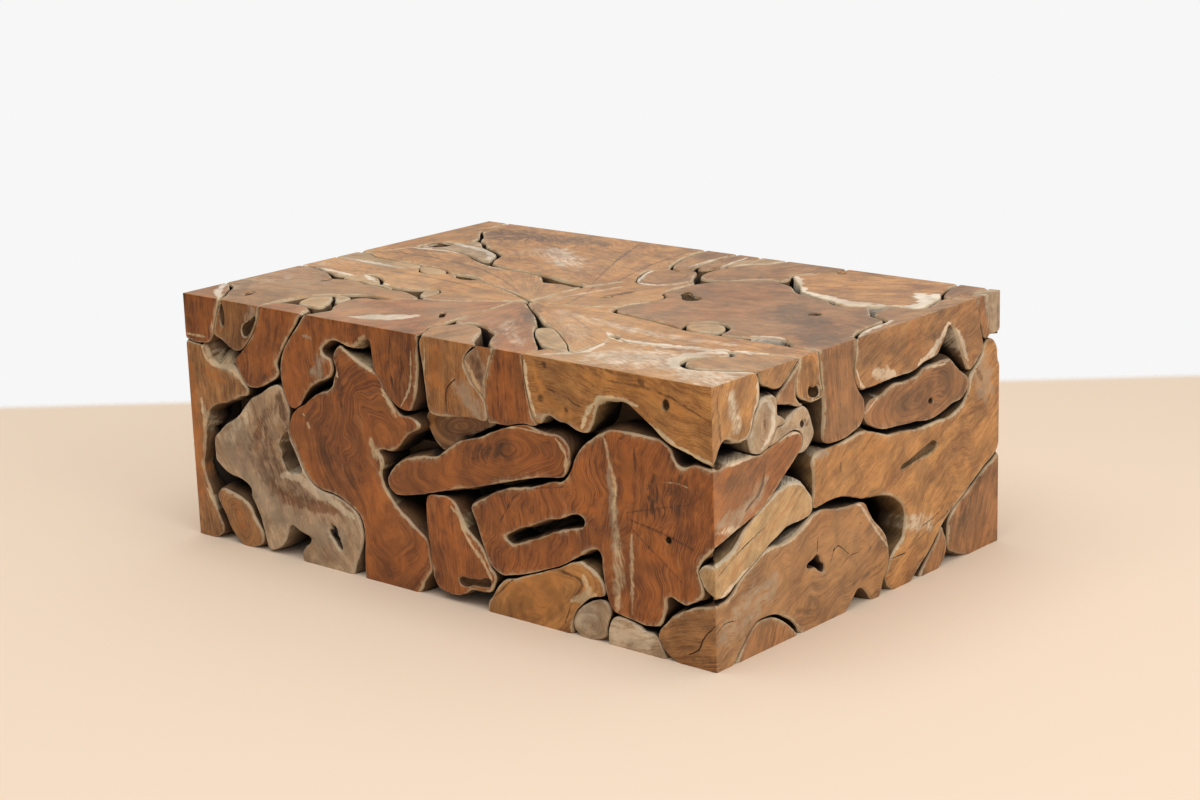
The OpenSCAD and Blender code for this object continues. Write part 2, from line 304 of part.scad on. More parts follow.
TOP = [
    ["near_corner_block", [[219, -400, 1], [600, -400, 1], [600, -290, 1], [580, -296],
        [552, -312], [515, -328], [490, -326], [470, -312], [460, -290], [463, -266],
        [478, -250], [492, -243], [500, -230], [488, -213], [470, -207], [436, -217],
        [391, -231], [347, -244], [305, -248], [290, -241], [276, -246], [277, -264],
        [282, -300], [287, -340], [282, -348], [262, -353], [236, -352], [226, -362],
        [224, -380]], 1, []],
    ["arch_arm", [[-284, -400, 1], [-276, -380], [-270, -350], [-286, -330], [-300, -299],
        [-301, -270], [-291, -248], [-264, -243], [-238, -228], [-220, -212], [-204, -202],
        [-150, -188], [-95, -158], [-48, -124, 1], [-43, -170], [-38, -230], [-37, -290],
        [-37, -342], [-24, -368], [-15, -400, 1]], 1, []],
    ["right_arm", [[-20, -112, 1], [40, -98], [95, -82], [128, -64], [140, -88],
        [160, -98], [200, -104], [250, -112], [300, -124], [350, -134], [400, -131],
        [500, -129], [600, -130, 1], [600, -177, 1], [560, -186], [524, -195], [480, -203],
        [436, -214], [391, -228], [347, -241], [305, -245], [288, -238], [272, -244],
        [274, -262], [279, -300], [284, -338], [274, -344], [241, -313], [202, -281],
        [169, -255], [142, -238], [100, -215], [50, -175], [0, -138], [-20, -120, 1]],
        1, [[[256, -226], [266, -222], [280, -231], [284, -238], [274, -237], [262, -234]]]],
    ["dark_slab", [[600, -126, 1], [545, -124], [536, -114], [515, -98], [480, -94],
        [455, -104], [440, -118], [425, -124], [402, -122], [396, -100], [386, -78],
        [366, -64], [342, -61], [318, -72], [308, -92], [314, -112], [316, -122],
        [300, -118], [250, -106], [200, -98], [160, -91], [146, -80], [136, -60],
        [140, -35], [150, -12], [156, 15], [150, 48], [134, 60], [127, 80], [128, 120],
        [130, 155], [150, 190], [175, 218], [205, 244], [228, 256], [250, 244], [285, 228],
        [318, 196], [350, 184], [376, 174], [400, 170], [425, 154], [446, 149], [466, 157],
        [486, 166], [500, 152], [512, 138], [530, 115], [556, 104], [566, 96], [568, 60],
        [573, 20], [586, -14], [600, -27, 1]], 1, []],
    ["left_arm_low", [[-600, -25, 1], [-540, -30], [-480, -34], [-416, -29], [-392, -14],
        [-370, -33], [-345, -41], [-320, -31], [-314, -20], [-290, -20], [-276, -32],
        [-250, -41], [-230, -33], [-222, -28], [-198, -41], [-148, -57], [-90, -81],
        [-30, -110, 1], [-50, -122, 1], [-95, -155], [-150, -184], [-200, -196],
        [-206, -180], [-205, -150], [-225, -128], [-246, -132], [-262, -146],
        [-300, -156], [-345, -150], [-362, -132], [-390, -112], [-425, -104],
        [-450, -128], [-480, -136], [-500, -130], [-531, -119], [-568, -108],
        [-600, -110, 1]], 1, []],
    ["crown_core", [[-22, -108, 1], [-24, -50], [-22, 20], [-8, 58], [6, 90], [22, 112],
        [46, 100], [75, 106], [96, 124], [108, 150], [112, 165], [122, 158], [124, 120],
        [123, 80], [130, 58], [146, 46], [151, 16], [146, -10], [136, -34], [132, -58],
        [95, -80], [40, -96]], 0, []],
    ["left_arm_high", [[-596, 46, 1], [-566, 70], [-549, 99], [-537, 130], [-482, 139],
        [-440, 136], [-397, 123], [-352, 98], [-305, 78], [-250, 68], [-180, 62],
        [-146, 54], [-112, 22], [-70, 26], [-38, 20], [-25, 24], [-26, -45],
        [-25, -106, 1], [-90, -78], [-150, -54], [-200, -38], [-226, -23], [-240, -13],
        [-276, -11], [-300, -14], [-316, -10], [-334, 3], [-370, 9], [-402, 9],
        [-440, 12], [-500, 16], [-540, 24], [-570, 36], [-596, 40, 1]], 0, []],
    ["big_back_slab", [[-545, 400, 1], [-44, 400, 1], [-40, 360], [-32, 318], [-20, 284],
        [-4, 248], [10, 228], [-4, 214], [-16, 202], [-12, 178], [2, 146], [18, 118],
        [2, 92], [-12, 60], [-26, 32], [-40, 44], [-90, 52], [-134, 64], [-160, 70],
        [-240, 76], [-296, 90], [-316, 108], [-330, 138], [-346, 163], [-382, 184],
        [-425, 206], [-448, 228], [-474, 242], [-490, 266], [-515, 292], [-535, 314],
        [-542, 350]], 1, []],
    ["left_corner_block", [[-600, -400, 1], [-503, -400, 1], [-519, -376], [-543, -346],
        [-565, -320], [-585, -304], [-600, -300, 1]], 1, []],
    ["grey_edge_block", [[-600, -297, 1], [-584, -302], [-560, -316], [-540, -344],
        [-517, -372], [-501, -400, 1], [-401, -400, 1], [-402, -375], [-402, -350],
        [-398, -322], [-391, -293], [-372, -270], [-343, -248], [-309, -230],
        [-276, -226], [-242, -228], [-222, -212], [-209, -199], [-231, -186],
        [-266, -172], [-309, -172], [-340, -166], [-370, -166], [-400, -158],
        [-437, -158], [-462, -164], [-480, -150], [-500, -138], [-531, -127],
        [-568, -115], [-600, -116, 1]], 1, []],
    ["bell_block", [[-399, -400, 1], [-400, -378], [-386, -358], [-360, -350],
        [-328, -353], [-310, -364], [-302, -380], [-294, -400, 1]], 1, []],
    ["short_block", [[-3, -400, 1], [-20, -378], [-33, -358], [-33, -340], [-20, -319],
        [-9, -303], [13, -295], [30, -299], [50, -311], [63, -330], [86, -366],
        [118, -400, 1]], 1, []],
    ["front_arm", [[160, -400, 1], [140, -385], [120, -368], [104, -346], [85, -318],
        [62, -306], [40, -292], [20, -288], [0, -288], [-18, -297], [-32, -285],
        [-35, -235], [-40, -175], [-46, -124, 1], [-22, -124, 1], [10, -150], [60, -190],
        [95, -225], [118, -255], [140, -283], [165, -308], [196, -337], [214, -354],
        [222, -372], [217, -400, 1]], 0, []],
    ["pale_wedge", [[122, -256], [142, -240], [169, -257], [202, -282], [241, -315],
        [276, -346], [258, -350], [226, -343], [205, -336], [170, -308], [142, -283]],
        1, []],
    ["right_edge_block", [[600, -180, 1], [560, -188], [528, -197], [500, -206],
        [508, -230], [498, -245], [482, -256], [470, -270], [467, -290], [476, -306],
        [494, -318], [515, -320], [548, -305], [575, -290], [600, -281, 1]], 1, []],
    ["saddle_block", [[600, -24, 1], [590, -10], [578, 22], [573, 60], [572, 98],
        [562, 109], [536, 119], [520, 140], [516, 165], [518, 194], [555, 197], [571, 212],
        [566, 245], [558, 285], [572, 303], [600, 326, 1]], 1, []],
    ["back_right_slab", [[282, 400, 1], [281, 372], [256, 335], [235, 303], [248, 284],
        [270, 262], [290, 242], [320, 207], [350, 193], [376, 182], [402, 178], [428, 162],
        [448, 157], [468, 166], [492, 182], [512, 197], [552, 202], [565, 216], [560, 248],
        [551, 286], [545, 300], [532, 322], [522, 348], [516, 372], [514, 400, 1]], 1, []],
    ["back_mid_slab", [[90, 222], [84, 255], [90, 295], [108, 333], [130, 352],
        [142, 374], [150, 400, 1], [278, 400, 1], [277, 372], [252, 337], [230, 305],
        [240, 284], [240, 264], [228, 261], [205, 249], [175, 223], [148, 204],
        [124, 196], [104, 202]], 0, []],
    ["back_left_corner", [[-600, 400, 1], [-549, 400, 1], [-546, 345], [-538, 312],
        [-520, 290], [-498, 265], [-484, 240], [-480, 222], [-500, 206], [-528, 192],
        [-540, 165], [-540, 130], [-552, 98], [-570, 68], [-590, 52], [-600, 49, 1]],
        1, []],
    ["oval_slice", [[45, 104], [72, 110], [92, 128], [103, 152], [101, 178], [84, 208],
        [64, 238], [48, 236], [34, 222], [18, 228], [0, 216], [-12, 200], [-8, 178],
        [6, 148], [22, 120]], 1, []],
    ["back_finger_wide", [[-40, 400, 1], [32, 400, 1], [31, 360], [32, 310], [36, 272],
        [42, 248], [34, 230], [18, 234], [0, 250], [-16, 284], [-28, 318], [-36, 360]],
        1, []],
    ["back_finger_slim", [[36, 400, 1], [86, 400, 1], [84, 360], [76, 320], [74, 290],
        [64, 266], [50, 262], [41, 280], [37, 320], [35, 360]], 1, []],
    ["back_finger_dark", [[518, 400, 1], [520, 374], [527, 348], [536, 324], [548, 306],
        [560, 308], [568, 330], [573, 360], [574, 400, 1]], 1, []],
    ["far_corner_block", [[578, 400, 1], [600, 400, 1], [600, 356, 1], [588, 346],
        [578, 340], [575, 356], [577, 380]], 1, []],
    ["pale_strip", [[-600, 35, 1], [-566, 31], [-540, 20], [-500, 12], [-440, 8],
        [-404, 5], [-396, -10], [-418, -26], [-480, -31], [-540, -27], [-600, -22, 1]],
        1, []],
    ["left_wedge", [[-532, 184], [-503, 198], [-476, 218], [-470, 230], [-450, 220],
        [-428, 198], [-386, 176], [-352, 156], [-338, 134], [-326, 108], [-336, 106],
        [-362, 112], [-398, 128], [-440, 141], [-482, 144], [-532, 138]], 1, []],
    ["top_infill", [[-376, -297], [-364, -280], [-348, -272], [-326, -297], [-312, -319],
        [-303, -340], [-326, -347], [-352, -345], [-368, -330]], 1, []],
    ["top_infill", [[-345, -264], [-331, -257], [-311, -262], [-306, -285], [-318, -292],
        [-334, -276]], 1, []],
    ["top_infill", [[314, -95], [325, -116], [345, -126], [372, -124], [388, -112],
        [386, -96], [378, -80], [362, -70], [342, -68], [324, -78]], 1, []],
    ["top_infill", [[-398, 2], [-370, 5], [-336, 0], [-320, -14], [-322, -28],
        [-345, -38], [-368, -30], [-388, -14]], 1, []],
    ["top_infill", [[-430, -109], [-392, -117], [-366, -136], [-352, -152], [-310, -161],
        [-345, -162], [-370, -161], [-400, -154], [-438, -152], [-452, -142]], 1, []],
    ["top_infill", [[-246, -136], [-226, -131], [-208, -150], [-208, -178], [-222, -180],
        [-236, -160]], 1, []],
    ["top_infill", [[90, 400, 1], [146, 400, 1], [138, 376], [124, 356], [104, 338],
        [92, 318], [84, 306], [80, 318], [88, 356]], 1, []],
    ["side_infill", [[600, 329, 1], [578, 311], [562, 304], [566, 318], [576, 337],
        [590, 348], [600, 354, 1]], 0, []],
];
LEFT = [
    ["left_corner_block", [[-400, 450, 1], [-300, 450, 1], [-306, 420], [-322, 392],
        [-345, 372], [-372, 366], [-400, 367, 1]], 1, []],
    ["grey_edge_block", [[-297, 450, 1], [-116, 450, 1], [-122, 420], [-128, 390],
        [-150, 372], [-185, 362], [-220, 356], [-260, 352], [-292, 360], [-312, 378],
        [-316, 394], [-303, 418]], 1, []],
    ["left_arm_low", [[-110, 450, 1], [-25, 450, 1], [-20, 425], [-24, 398], [-40, 376],
        [-66, 366], [-95, 372], [-116, 388], [-118, 415]], 1, []],
    ["pale_strip", [[-22, 450, 1], [35, 450, 1], [38, 420], [32, 395], [20, 380],
        [2, 372], [-12, 384], [-18, 404], [-17, 428]], 1, []],
    ["back_left_corner", [[49, 450, 1], [400, 450, 1], [400, 250, 1], [372, 262],
        [340, 285], [300, 300], [262, 318], [230, 345], [190, 352], [150, 340],
        [112, 345], [80, 362], [58, 388], [46, 420]], 1, []],
    ["left_wall_corner", [[-400, 364, 1], [-372, 361], [-345, 364], [-322, 352],
        [-300, 330], [-296, 300], [-310, 265], [-300, 230], [-272, 205], [-262, 170],
        [-280, 140], [-300, 110], [-296, 70], [-280, 35], [-262, 0, 1], [-400, 0, 1]],
        1, []],
    ["left_mid_block", [[-290, 350], [-255, 346], [-215, 350], [-180, 354], [-148, 362],
        [-122, 378], [-108, 370], [-92, 362], [-64, 358], [-38, 366], [-18, 372], [4, 364],
        [24, 372], [44, 384], [60, 356], [84, 340], [108, 330], [104, 300], [80, 272],
        [48, 258], [10, 262], [-30, 272], [-70, 262], [-105, 240], [-150, 228],
        [-200, 222], [-246, 214], [-268, 232], [-290, 262], [-284, 300]], 1, []],
    ["left_floor_block", [[-250, 0, 1], [-266, 36], [-282, 72], [-286, 108], [-266, 136],
        [-250, 168], [-244, 200], [-200, 214], [-150, 220], [-102, 232], [-68, 254],
        [-30, 263], [10, 253], [40, 246], [52, 210], [40, 170], [58, 130], [84, 96],
        [80, 50], [60, 0, 1]], 1, []],
    ["left_back_corner", [[70, 0, 1], [90, 50], [94, 98], [68, 134], [52, 172],
        [62, 212], [56, 248], [88, 264], [112, 292], [120, 330], [150, 332], [190, 343],
        [226, 336], [256, 310], [296, 291], [336, 276], [368, 254], [400, 240, 1],
        [400, 0, 1]], 1, []],
];
BACK = [
    ["big_back_slab", [[-545, 450, 1], [-44, 450, 1], [-46, 420], [-60, 395], [-90, 382],
        [-140, 372], [-190, 352], [-240, 342], [-300, 350], [-350, 368], [-400, 362],
        [-450, 340], [-500, 330], [-540, 340], [-552, 360], [-554, 390], [-548, 420]],
        1, []],
    ["back_right_slab", [[282, 450, 1], [514, 450, 1], [510, 420], [512, 390], [500, 360],
        [470, 345], [430, 350], [390, 340], [350, 322], [310, 330], [286, 352],
        [276, 375], [280, 410]], 1, []],
    ["back_mid_slab", [[150, 450, 1], [278, 450, 1], [276, 410], [268, 372], [240, 350],
        [200, 346], [165, 358], [140, 380], [136, 402], [146, 425]], 1, []],
    ["back_finger_wide", [[-40, 450, 1], [32, 450, 1], [30, 410], [26, 370], [10, 350],
        [-14, 346], [-34, 362], [-46, 385], [-42, 420]], 1, []],
    ["back_finger_slim", [[36, 450, 1], [86, 450, 1], [84, 420], [80, 385], [66, 366],
        [48, 364], [34, 380], [34, 415]], 1, []],
    ["top_infill", [[90, 450, 1], [146, 450, 1], [142, 425], [130, 405], [110, 398],
        [94, 410], [90, 430]], 1, []],
    ["back_finger_dark", [[518, 450, 1], [574, 450, 1], [572, 420], [568, 395],
        [550, 386], [530, 388], [518, 400], [515, 425]], 1, []],
    ["far_corner_block", [[578, 450, 1], [600, 450, 1], [600, 379, 1], [578, 374],
        [548, 366], [518, 352], [506, 362], [516, 380], [545, 382], [570, 388],
        [576, 420]], 1, []],
    ["back_left_corner", [[-600, 450, 1], [-549, 450, 1], [-552, 420], [-560, 390],
        [-556, 350], [-562, 310], [-572, 275], [-600, 250, 1]], 1, []],
    ["big_side_root", [[600, 322, 1], [600, 176, 1], [560, 170], [520, 180], [480, 200],
        [440, 215], [400, 225], [390, 250], [410, 280], [440, 300], [480, 318],
        [520, 332], [560, 330]], 1, []],
    ["far_bottom_corner", [[600, 160, 1], [600, 0, 1], [420, 0, 1], [430, 40], [420, 80],
        [440, 120], [480, 150], [520, 158], [560, 156]], 1, []],
    ["left_back_corner", [[-600, 240, 1], [-600, 0, 1], [-430, 0, 1], [-440, 45],
        [-425, 90], [-440, 135], [-470, 170], [-510, 205], [-555, 230]], 1, []],
    ["back_left_root", [[-544, 330], [-500, 322], [-452, 332], [-402, 353], [-352, 359],
        [-302, 342], [-270, 336], [-262, 300], [-280, 260], [-310, 225], [-350, 200],
        [-400, 182], [-436, 160], [-462, 182], [-502, 213], [-548, 240], [-562, 262],
        [-554, 296]], 1, []],
    ["back_centre_root", [[-256, 334], [-240, 334], [-192, 344], [-142, 364], [-92, 374],
        [-64, 386], [-50, 376], [-36, 354], [-14, 338], [12, 342], [30, 358], [46, 356],
        [68, 358], [84, 372], [100, 388], [126, 392], [142, 366], [164, 350], [176, 340],
        [170, 300], [140, 270], [100, 255], [60, 250], [10, 262], [-40, 280],
        [-90, 276], [-140, 256], [-190, 245], [-240, 250], [-262, 265], [-252, 300]],
        1, []],
    ["back_right_root", [[184, 338], [200, 338], [240, 342], [270, 362], [282, 344],
        [308, 322], [350, 314], [392, 332], [432, 342], [470, 337], [496, 350],
        [510, 346], [500, 332], [478, 326], [438, 308], [404, 286], [380, 252],
        [388, 222], [384, 196], [360, 184], [310, 178], [260, 192], [215, 217],
        [178, 240], [150, 262], [178, 296]], 1, []],
    ["back_floor_left", [[-420, 0, 1], [-430, 45], [-415, 90], [-428, 132], [-430, 152],
        [-400, 174], [-350, 192], [-308, 216], [-280, 246], [-262, 252], [-240, 242],
        [-190, 237], [-160, 234], [-130, 200], [-118, 150], [-130, 100], [-120, 50],
        [-110, 0, 1]], 1, []],
    ["back_floor_centre", [[-100, 0, 1], [-110, 50], [-120, 100], [-108, 150],
        [-120, 200], [-148, 240], [-138, 248], [-90, 267], [-40, 271], [10, 253],
        [60, 241], [100, 246], [142, 252], [168, 232], [184, 190], [180, 140],
        [160, 100], [168, 50], [160, 0, 1]], 1, []],
    ["back_floor_right", [[170, 0, 1], [178, 50], [170, 98], [190, 138], [198, 188],
        [190, 216], [214, 206], [258, 182], [310, 167], [360, 171], [400, 188],
        [440, 206], [470, 192], [476, 160], [432, 126], [410, 82], [420, 40],
        [410, 0, 1]], 1, []],
];

// Blind knot holes, grooves and bark pockets: [block, face, outline, depth factor]
KNOTS = [
    ["grey_edge_block", "front", [[-500, 444], [-494, 434], [-492, 418], [-495, 404],
        [-501, 401], [-505, 412], [-506, 430]], 0.5],
    ["grey_edge_block", "front", [[-411, 431], [-425, 423], [-441, 414], [-450, 402],
        [-447, 391], [-437, 389], [-427, 399], [-417, 413]], 0.8],
    ["grey_root", "front", [[-345, 231], [-356, 226], [-367, 214], [-372, 202], [-365, 192],
        [-368, 181], [-359, 168], [-348, 158], [-330, 159], [-315, 165], [-319, 178],
        [-326, 191], [-333, 204], [-341, 217]], 1.6],
    ["near_corner_block", "front", [[503, 411], [509, 418], [516, 414], [515, 404],
        [507, 401]], 0.6],
    ["hand_block", "front", [[504, 197], [510, 201], [515, 196], [511, 190], [505, 191]], 0.7],
    ["low_wedge_block", "front", [[58, 45], [80, 49], [105, 51], [124, 57], [131, 51],
        [126, 42], [110, 39], [88, 37], [68, 31], [58, 36]], 0.5],
    ["right_arm", "right", [[-154, 397], [-143, 394], [-131, 396], [-127, 388], [-128, 380],
        [-136, 377], [-147, 380], [-156, 387]], 1.3],
    ["leaf_slice", "right", [[181, 301], [188, 305], [194, 302], [195, 297], [188, 295]], 1],
    ["big_side_root", "right", [[98, 204], [122, 211], [150, 219], [178, 226], [199, 229],
        [211, 221], [200, 212], [177, 208], [150, 206], [120, 202]], 0.5],
    ["shoulder_block", "right", [[-178, 346], [-171, 348], [-166, 342], [-170, 336],
        [-177, 339]], 0.6],
    ["grey_edge_block", "top", [[-503, -323], [-495, -323], [-488, -336], [-487, -350],
        [-495, -351], [-502, -339]], 1],
    ["grey_edge_block", "top", [[-471, -173], [-460, -171], [-454, -178], [-460, -190],
        [-468, -186]], 0.9],
    ["arch_arm", "top", [[-97, -252], [-88, -255], [-77, -267], [-68, -283], [-74, -286],
        [-85, -273], [-95, -261]], 0.9],
    ["left_wedge", "top", [[-526, 181], [-512, 188], [-498, 184], [-491, 169], [-497, 153],
        [-512, 147], [-526, 150]], 1.2],
    ["dark_slab", "top", [[433, 76], [440, 85], [450, 84], [453, 75], [446, 68],
        [437, 69]], 1],
    ["dark_slab", "top", [[152, 97], [167, 92], [186, 80], [203, 72], [213, 60], [206, 46],
        [194, 44], [179, 55], [163, 71], [151, 85]], 0.6],
    ["crown_core", "top", [[52, -15], [58, -6], [67, -2], [71, -9], [64, -18],
        [56, -22]], 0.6],
    ["back_right_slab", "top", [[288, 371], [296, 374], [300, 365], [294, 357],
        [287, 361]], 0.8],
    ["left_mid_block", "left", [[-150, 300], [-128, 309], [-104, 301], [-95, 287],
        [-118, 279], [-145, 286]], 1.2],
    ["back_centre_root", "back", [[38, 296], [56, 307], [74, 298], [68, 284], [48, 281]], 1],
    ["back_floor_left", "back", [[-302, 98], [-286, 108], [-268, 100], [-270, 85],
        [-290, 80]], 1.2],
];

// Draws one row of a face: its outline, scribed to the rows fitted before it, less its holes
module scribed(face, rows, row) {
    own = laid_out(rows[row][1], face);
    clearance = seam * rows[row][2];
    difference() {
        polygon(own);
        for (before = [0:1:row - 1]) {
            other = laid_out(rows[before][1], face);
            if (meets(own, other)) polygon(clearance > 0 ? grown(other, clearance) : other);
        }
        for (hole = rows[row][3]) polygon(laid_out(hole, face));
    }
}

// Each block is mitred where its face meets the next. A wall is numbered as in WALLS: in its own
// turned frame it faces -Y, and its right end meets the wall with the next number.
function turn_of(wall) = 90 * wall;
function half_long(wall) = wall % 2 == 0 ? half_w : half_d;
function half_deep(wall) = wall % 2 == 0 ? half_d : half_w;
function wall_of(face) = search([face], WALLS)[0];
module plan_share(half_x, half_y) {
    linear_extrude(table_h) polygon([[-half_x, -half_y], [half_x, -half_y],
        [half_x - block_t, -half_y + block_t], [-half_x + block_t, -half_y + block_t]]);
}
module along_wall(wall) {
    translate([-half_long(wall), 0, 0]) rotate([90, 0, 90]) linear_extrude(2 * half_long(wall))
        children();
}
module wall_share(wall) {
    back = -half_deep(wall) + block_t;
    rotate([0, 0, turn_of(wall)]) intersection() {
        plan_share(half_long(wall), half_deep(wall));
        along_wall(wall) polygon([[-half_deep(wall), 0], [-half_deep(wall), table_h],
            [back, inner_top], [back, 0]]);
    }
}
module top_share() {
    intersection_for (wall = [0, 1]) rotate([0, 0, turn_of(wall)]) along_wall(wall)
        polygon([[-half_deep(wall), table_h], [half_deep(wall), table_h],
            [half_deep(wall) - block_t, inner_top], [-half_deep(wall) + block_t, inner_top]]);
}
module face_share(face) {
    if (face == "top") top_share(); else wall_share(wall_of(face));
}

// Stands a drawing of a face up in its place, from a setback behind the face to the block's depth
module on_face(face, setback = 0, depth = block_t) {
    thick = depth - setback;
    if (face == "front") translate([0, depth - half_d, 0]) rotate([90, 0, 0])
        linear_extrude(thick) children();
    if (face == "back") translate([0, half_d - setback, 0]) rotate([90, 0, 0])
        linear_extrude(thick) children();
    if (face == "right") translate([half_w - depth, 0, 0]) rotate([90, 0, 90])
        linear_extrude(thick) children();
    if (face == "left") translate([setback - half_w, 0, 0]) rotate([90, 0, 90])
        linear_extrude(thick) children();
    if (face == "top") translate([0, 0, table_h - depth]) linear_extrude(thick) children();
}

// The rows of a face that draw one block
function rows_of(face) = face == "front" ? FRONT : face == "right" ? RIGHT
    : face == "top" ? TOP : face == "left" ? LEFT : BACK;
function rows_named(face, name) = let (rows = rows_of(face))
    [for (i = [0:len(rows) - 1]) if (rows[i][0] == name) i];

// A block's shares touch along their mitres. A thin strip inside the block bridges each mitre, so
// that the shares make one solid at every size.
BRIDGE_T = 0.8;
BRIDGE_INSET = 0.3;
function strip(from, to) = let (n = unit([1, 1]) * BRIDGE_T / 2)
    [from - n, to - n, to + n, from + n];
module top_strip(wall) {
    deep = half_deep(wall);
    rotate([0, 0, turn_of(wall)]) intersection() {
        plan_share(half_long(wall) - 2, deep);
        along_wall(wall) polygon(strip([-deep + 1, table_h - 1],
            [-deep + block_t - 1, inner_top + 1]));
    }
}
module corner_strip(wall) {
    long = half_long(wall);
    deep = half_deep(wall);
    rotate([0, 0, turn_of(wall)]) translate([0, 0, 1]) linear_extrude(inner_top - 3)
        polygon(strip([long - 1, -deep + 1], [long - block_t + 1, -deep + block_t - 1]));
}
module bridged(name, face, other_face) {
    for (i = rows_named(face, name), j = rows_named(other_face, name)) intersection() {
        on_face(face) offset(delta = -BRIDGE_INSET) scribed(face, rows_of(face), i);
        on_face(other_face) offset(delta = -BRIDGE_INSET)
            scribed(other_face, rows_of(other_face), j);
        children();
    }
}

// One block: its shares of the faces it shows on, bridged, less its knot holes
module block(name) {
    difference() {
        union() {
            for (face = FACES, i = rows_named(face, name)) intersection() {
                on_face(face) scribed(face, rows_of(face), i);
                face_share(face);
            }
            for (wall = [0:3]) {
                next = (wall + 1) % 4;
                bridged(name, WALLS[wall], "top") top_strip(wall);
                bridged(name, WALLS[wall], WALLS[next]) corner_strip(wall);
            }
        }
        for (knot = KNOTS) if (knot[0] == name)
            on_face(knot[1], -1, knot_depth * knot[3]) polygon(laid_out(knot[2], knot[1]));
    }
}

// The blocks, each in the tone of its wood
module near_corner_block() { color(gold_teak) block("near_corner_block"); }
module hand_block() { color(red_teak) block("hand_block"); }
module log_slice() { color(brown_teak) block("log_slice"); }
module red_root() { color(red_teak) block("red_root"); }
module arch_arm() { color(red_teak) block("arch_arm"); }
module bell_block() { color(gold_teak) block("bell_block"); }
module left_corner_block() { color(red_teak) block("left_corner_block"); }
module grey_edge_block() { color(brown_teak) block("grey_edge_block"); }
module short_block() { color(brown_teak) block("short_block"); }
module front_arm() { color(red_teak) block("front_arm"); }
module grey_root() { color(grey_teak) block("grey_root"); }
module left_wall_corner() { color(grey_teak) block("left_wall_corner"); }
module pebble() { color(brown_teak) block("pebble"); }
module low_wedge_block() { color(brown_teak) block("low_wedge_block"); }
module heart_block() { color(red_teak) block("heart_block"); }
module floor_knob() { color(grey_teak) block("floor_knob"); }
module floor_chip() { color(grey_teak) block("floor_chip"); }
module bottom_corner_root() { color(red_teak) block("bottom_corner_root"); }
module corner_stick() { color(pale_sap) block("corner_stick"); }
module right_arm() { color(gold_teak) block("right_arm"); }
module dark_slab() { color(red_teak) block("dark_slab"); }
module crown_core() { color(gold_teak) block("crown_core"); }
module left_arm_low() { color(gold_teak) block("left_arm_low"); }
module left_arm_high() { color(gold_teak) block("left_arm_high"); }
module big_back_slab() { color(gold_teak) block("big_back_slab"); }
module right_edge_block() { color(brown_teak) block("right_edge_block"); }
module saddle_block() { color(gold_teak) block("saddle_block"); }
module back_right_slab() { color(gold_teak) block("back_right_slab"); }
module back_mid_slab() { color(brown_teak) block("back_mid_slab"); }
module oval_slice() { color(brown_teak) block("oval_slice"); }
module back_finger_wide() { color(brown_teak) block("back_finger_wide"); }
module back_finger_slim() { color(brown_teak) block("back_finger_slim"); }
module back_finger_dark() { color(dark_teak) block("back_finger_dark"); }
module far_corner_block() { color(grey_teak) block("far_corner_block"); }
module back_left_corner() { color(gold_teak) block("back_left_corner"); }
module pale_strip() { color(pale_sap) block("pale_strip"); }
module pale_wedge() { color(pale_sap) block("pale_wedge"); }
module left_wedge() { color(grey_teak) block("left_wedge"); }
module top_infill() { color(pale_sap) block("top_infill"); }
module ear_block() { color(grey_teak) block("ear_block"); }
module shoulder_block() { color(grey_teak) block("shoulder_block"); }
module leaf_slice() { color(brown_teak) block("leaf_slice"); }
module big_side_root() { color(brown_teak) block("big_side_root"); }
module far_bottom_corner() { color(brown_teak) block("far_bottom_corner"); }
module side_infill() { color(grey_teak) block("side_infill"); }
module left_mid_block() { color(brown_teak) block("left_mid_block"); }
module left_floor_block() { color(gold_teak) block("left_floor_block"); }
module left_back_corner() { color(brown_teak) block("left_back_corner"); }
module back_left_root() { color(grey_teak) block("back_left_root"); }
module back_centre_root() { color(red_teak) block("back_centre_root"); }
module back_right_root() { color(gold_teak) block("back_right_root"); }
module back_floor_left() { color(brown_teak) block("back_floor_left"); }
module back_floor_centre() { color(grey_teak) block("back_floor_centre"); }
module back_floor_right() { color(red_teak) block("back_floor_right"); }

// A log behind the front gap, held against the block above it
module inner_root_log() {
    color(dark_teak) intersection() {
        on_face("front", log_setback)
            scribed("front", FRONT, rows_named("front", "inner_root_log")[0]);
        face_share("front");
    }
}

// The inner frame: posts and rails with mortise and tenon joints, and slats under the top
module tenon(length, play) {
    cube([length, tenon_t + 2 * play, rail_h - 2 * shoulder + 2 * play], center = true);
}
module rail(span) {
    translate([-span / 2, -rail_t / 2, 0]) cube([span, rail_t, rail_h]);
    for (side = [-1, 1]) translate([side * (span + tenon_l) / 2, 0, rail_h / 2]) tenon(tenon_l, 0);
}
module rail_pair(span, reach) {
    for (z = RAIL_HEIGHTS, side = [-1, 1])
        translate([0, side * (reach - rail_t / 2), z]) rail(span);
}
module post_mortises() {
    mortise_l = tenon_l + tenon_play;
    for (z = RAIL_HEIGHTS) {
        translate([mortise_l / 2, post - rail_t / 2, z + rail_h / 2]) tenon(mortise_l, tenon_play);
        translate([post - rail_t / 2, mortise_l / 2, z + rail_h / 2]) rotate([0, 0, 90])
            tenon(mortise_l, tenon_play);
    }
}
module corner_posts() {
    color(frame_wood) for (i = [0, 1], j = [0, 1]) mirror([i, 0, 0]) mirror([0, j, 0])
        translate([inner_w / 2 - post, inner_d / 2 - post, 0]) difference() {
            translate([0, 0, post_lift]) cube([post, post, rail_top - post_lift]);
            post_mortises();
        }
}
module long_rails() { color(frame_wood) rail_pair(inner_w - 2 * post, inner_d / 2); }
module short_rails() {
    color(frame_wood) rotate([0, 0, 90]) rail_pair(inner_d - 2 * post, inner_w / 2);
}
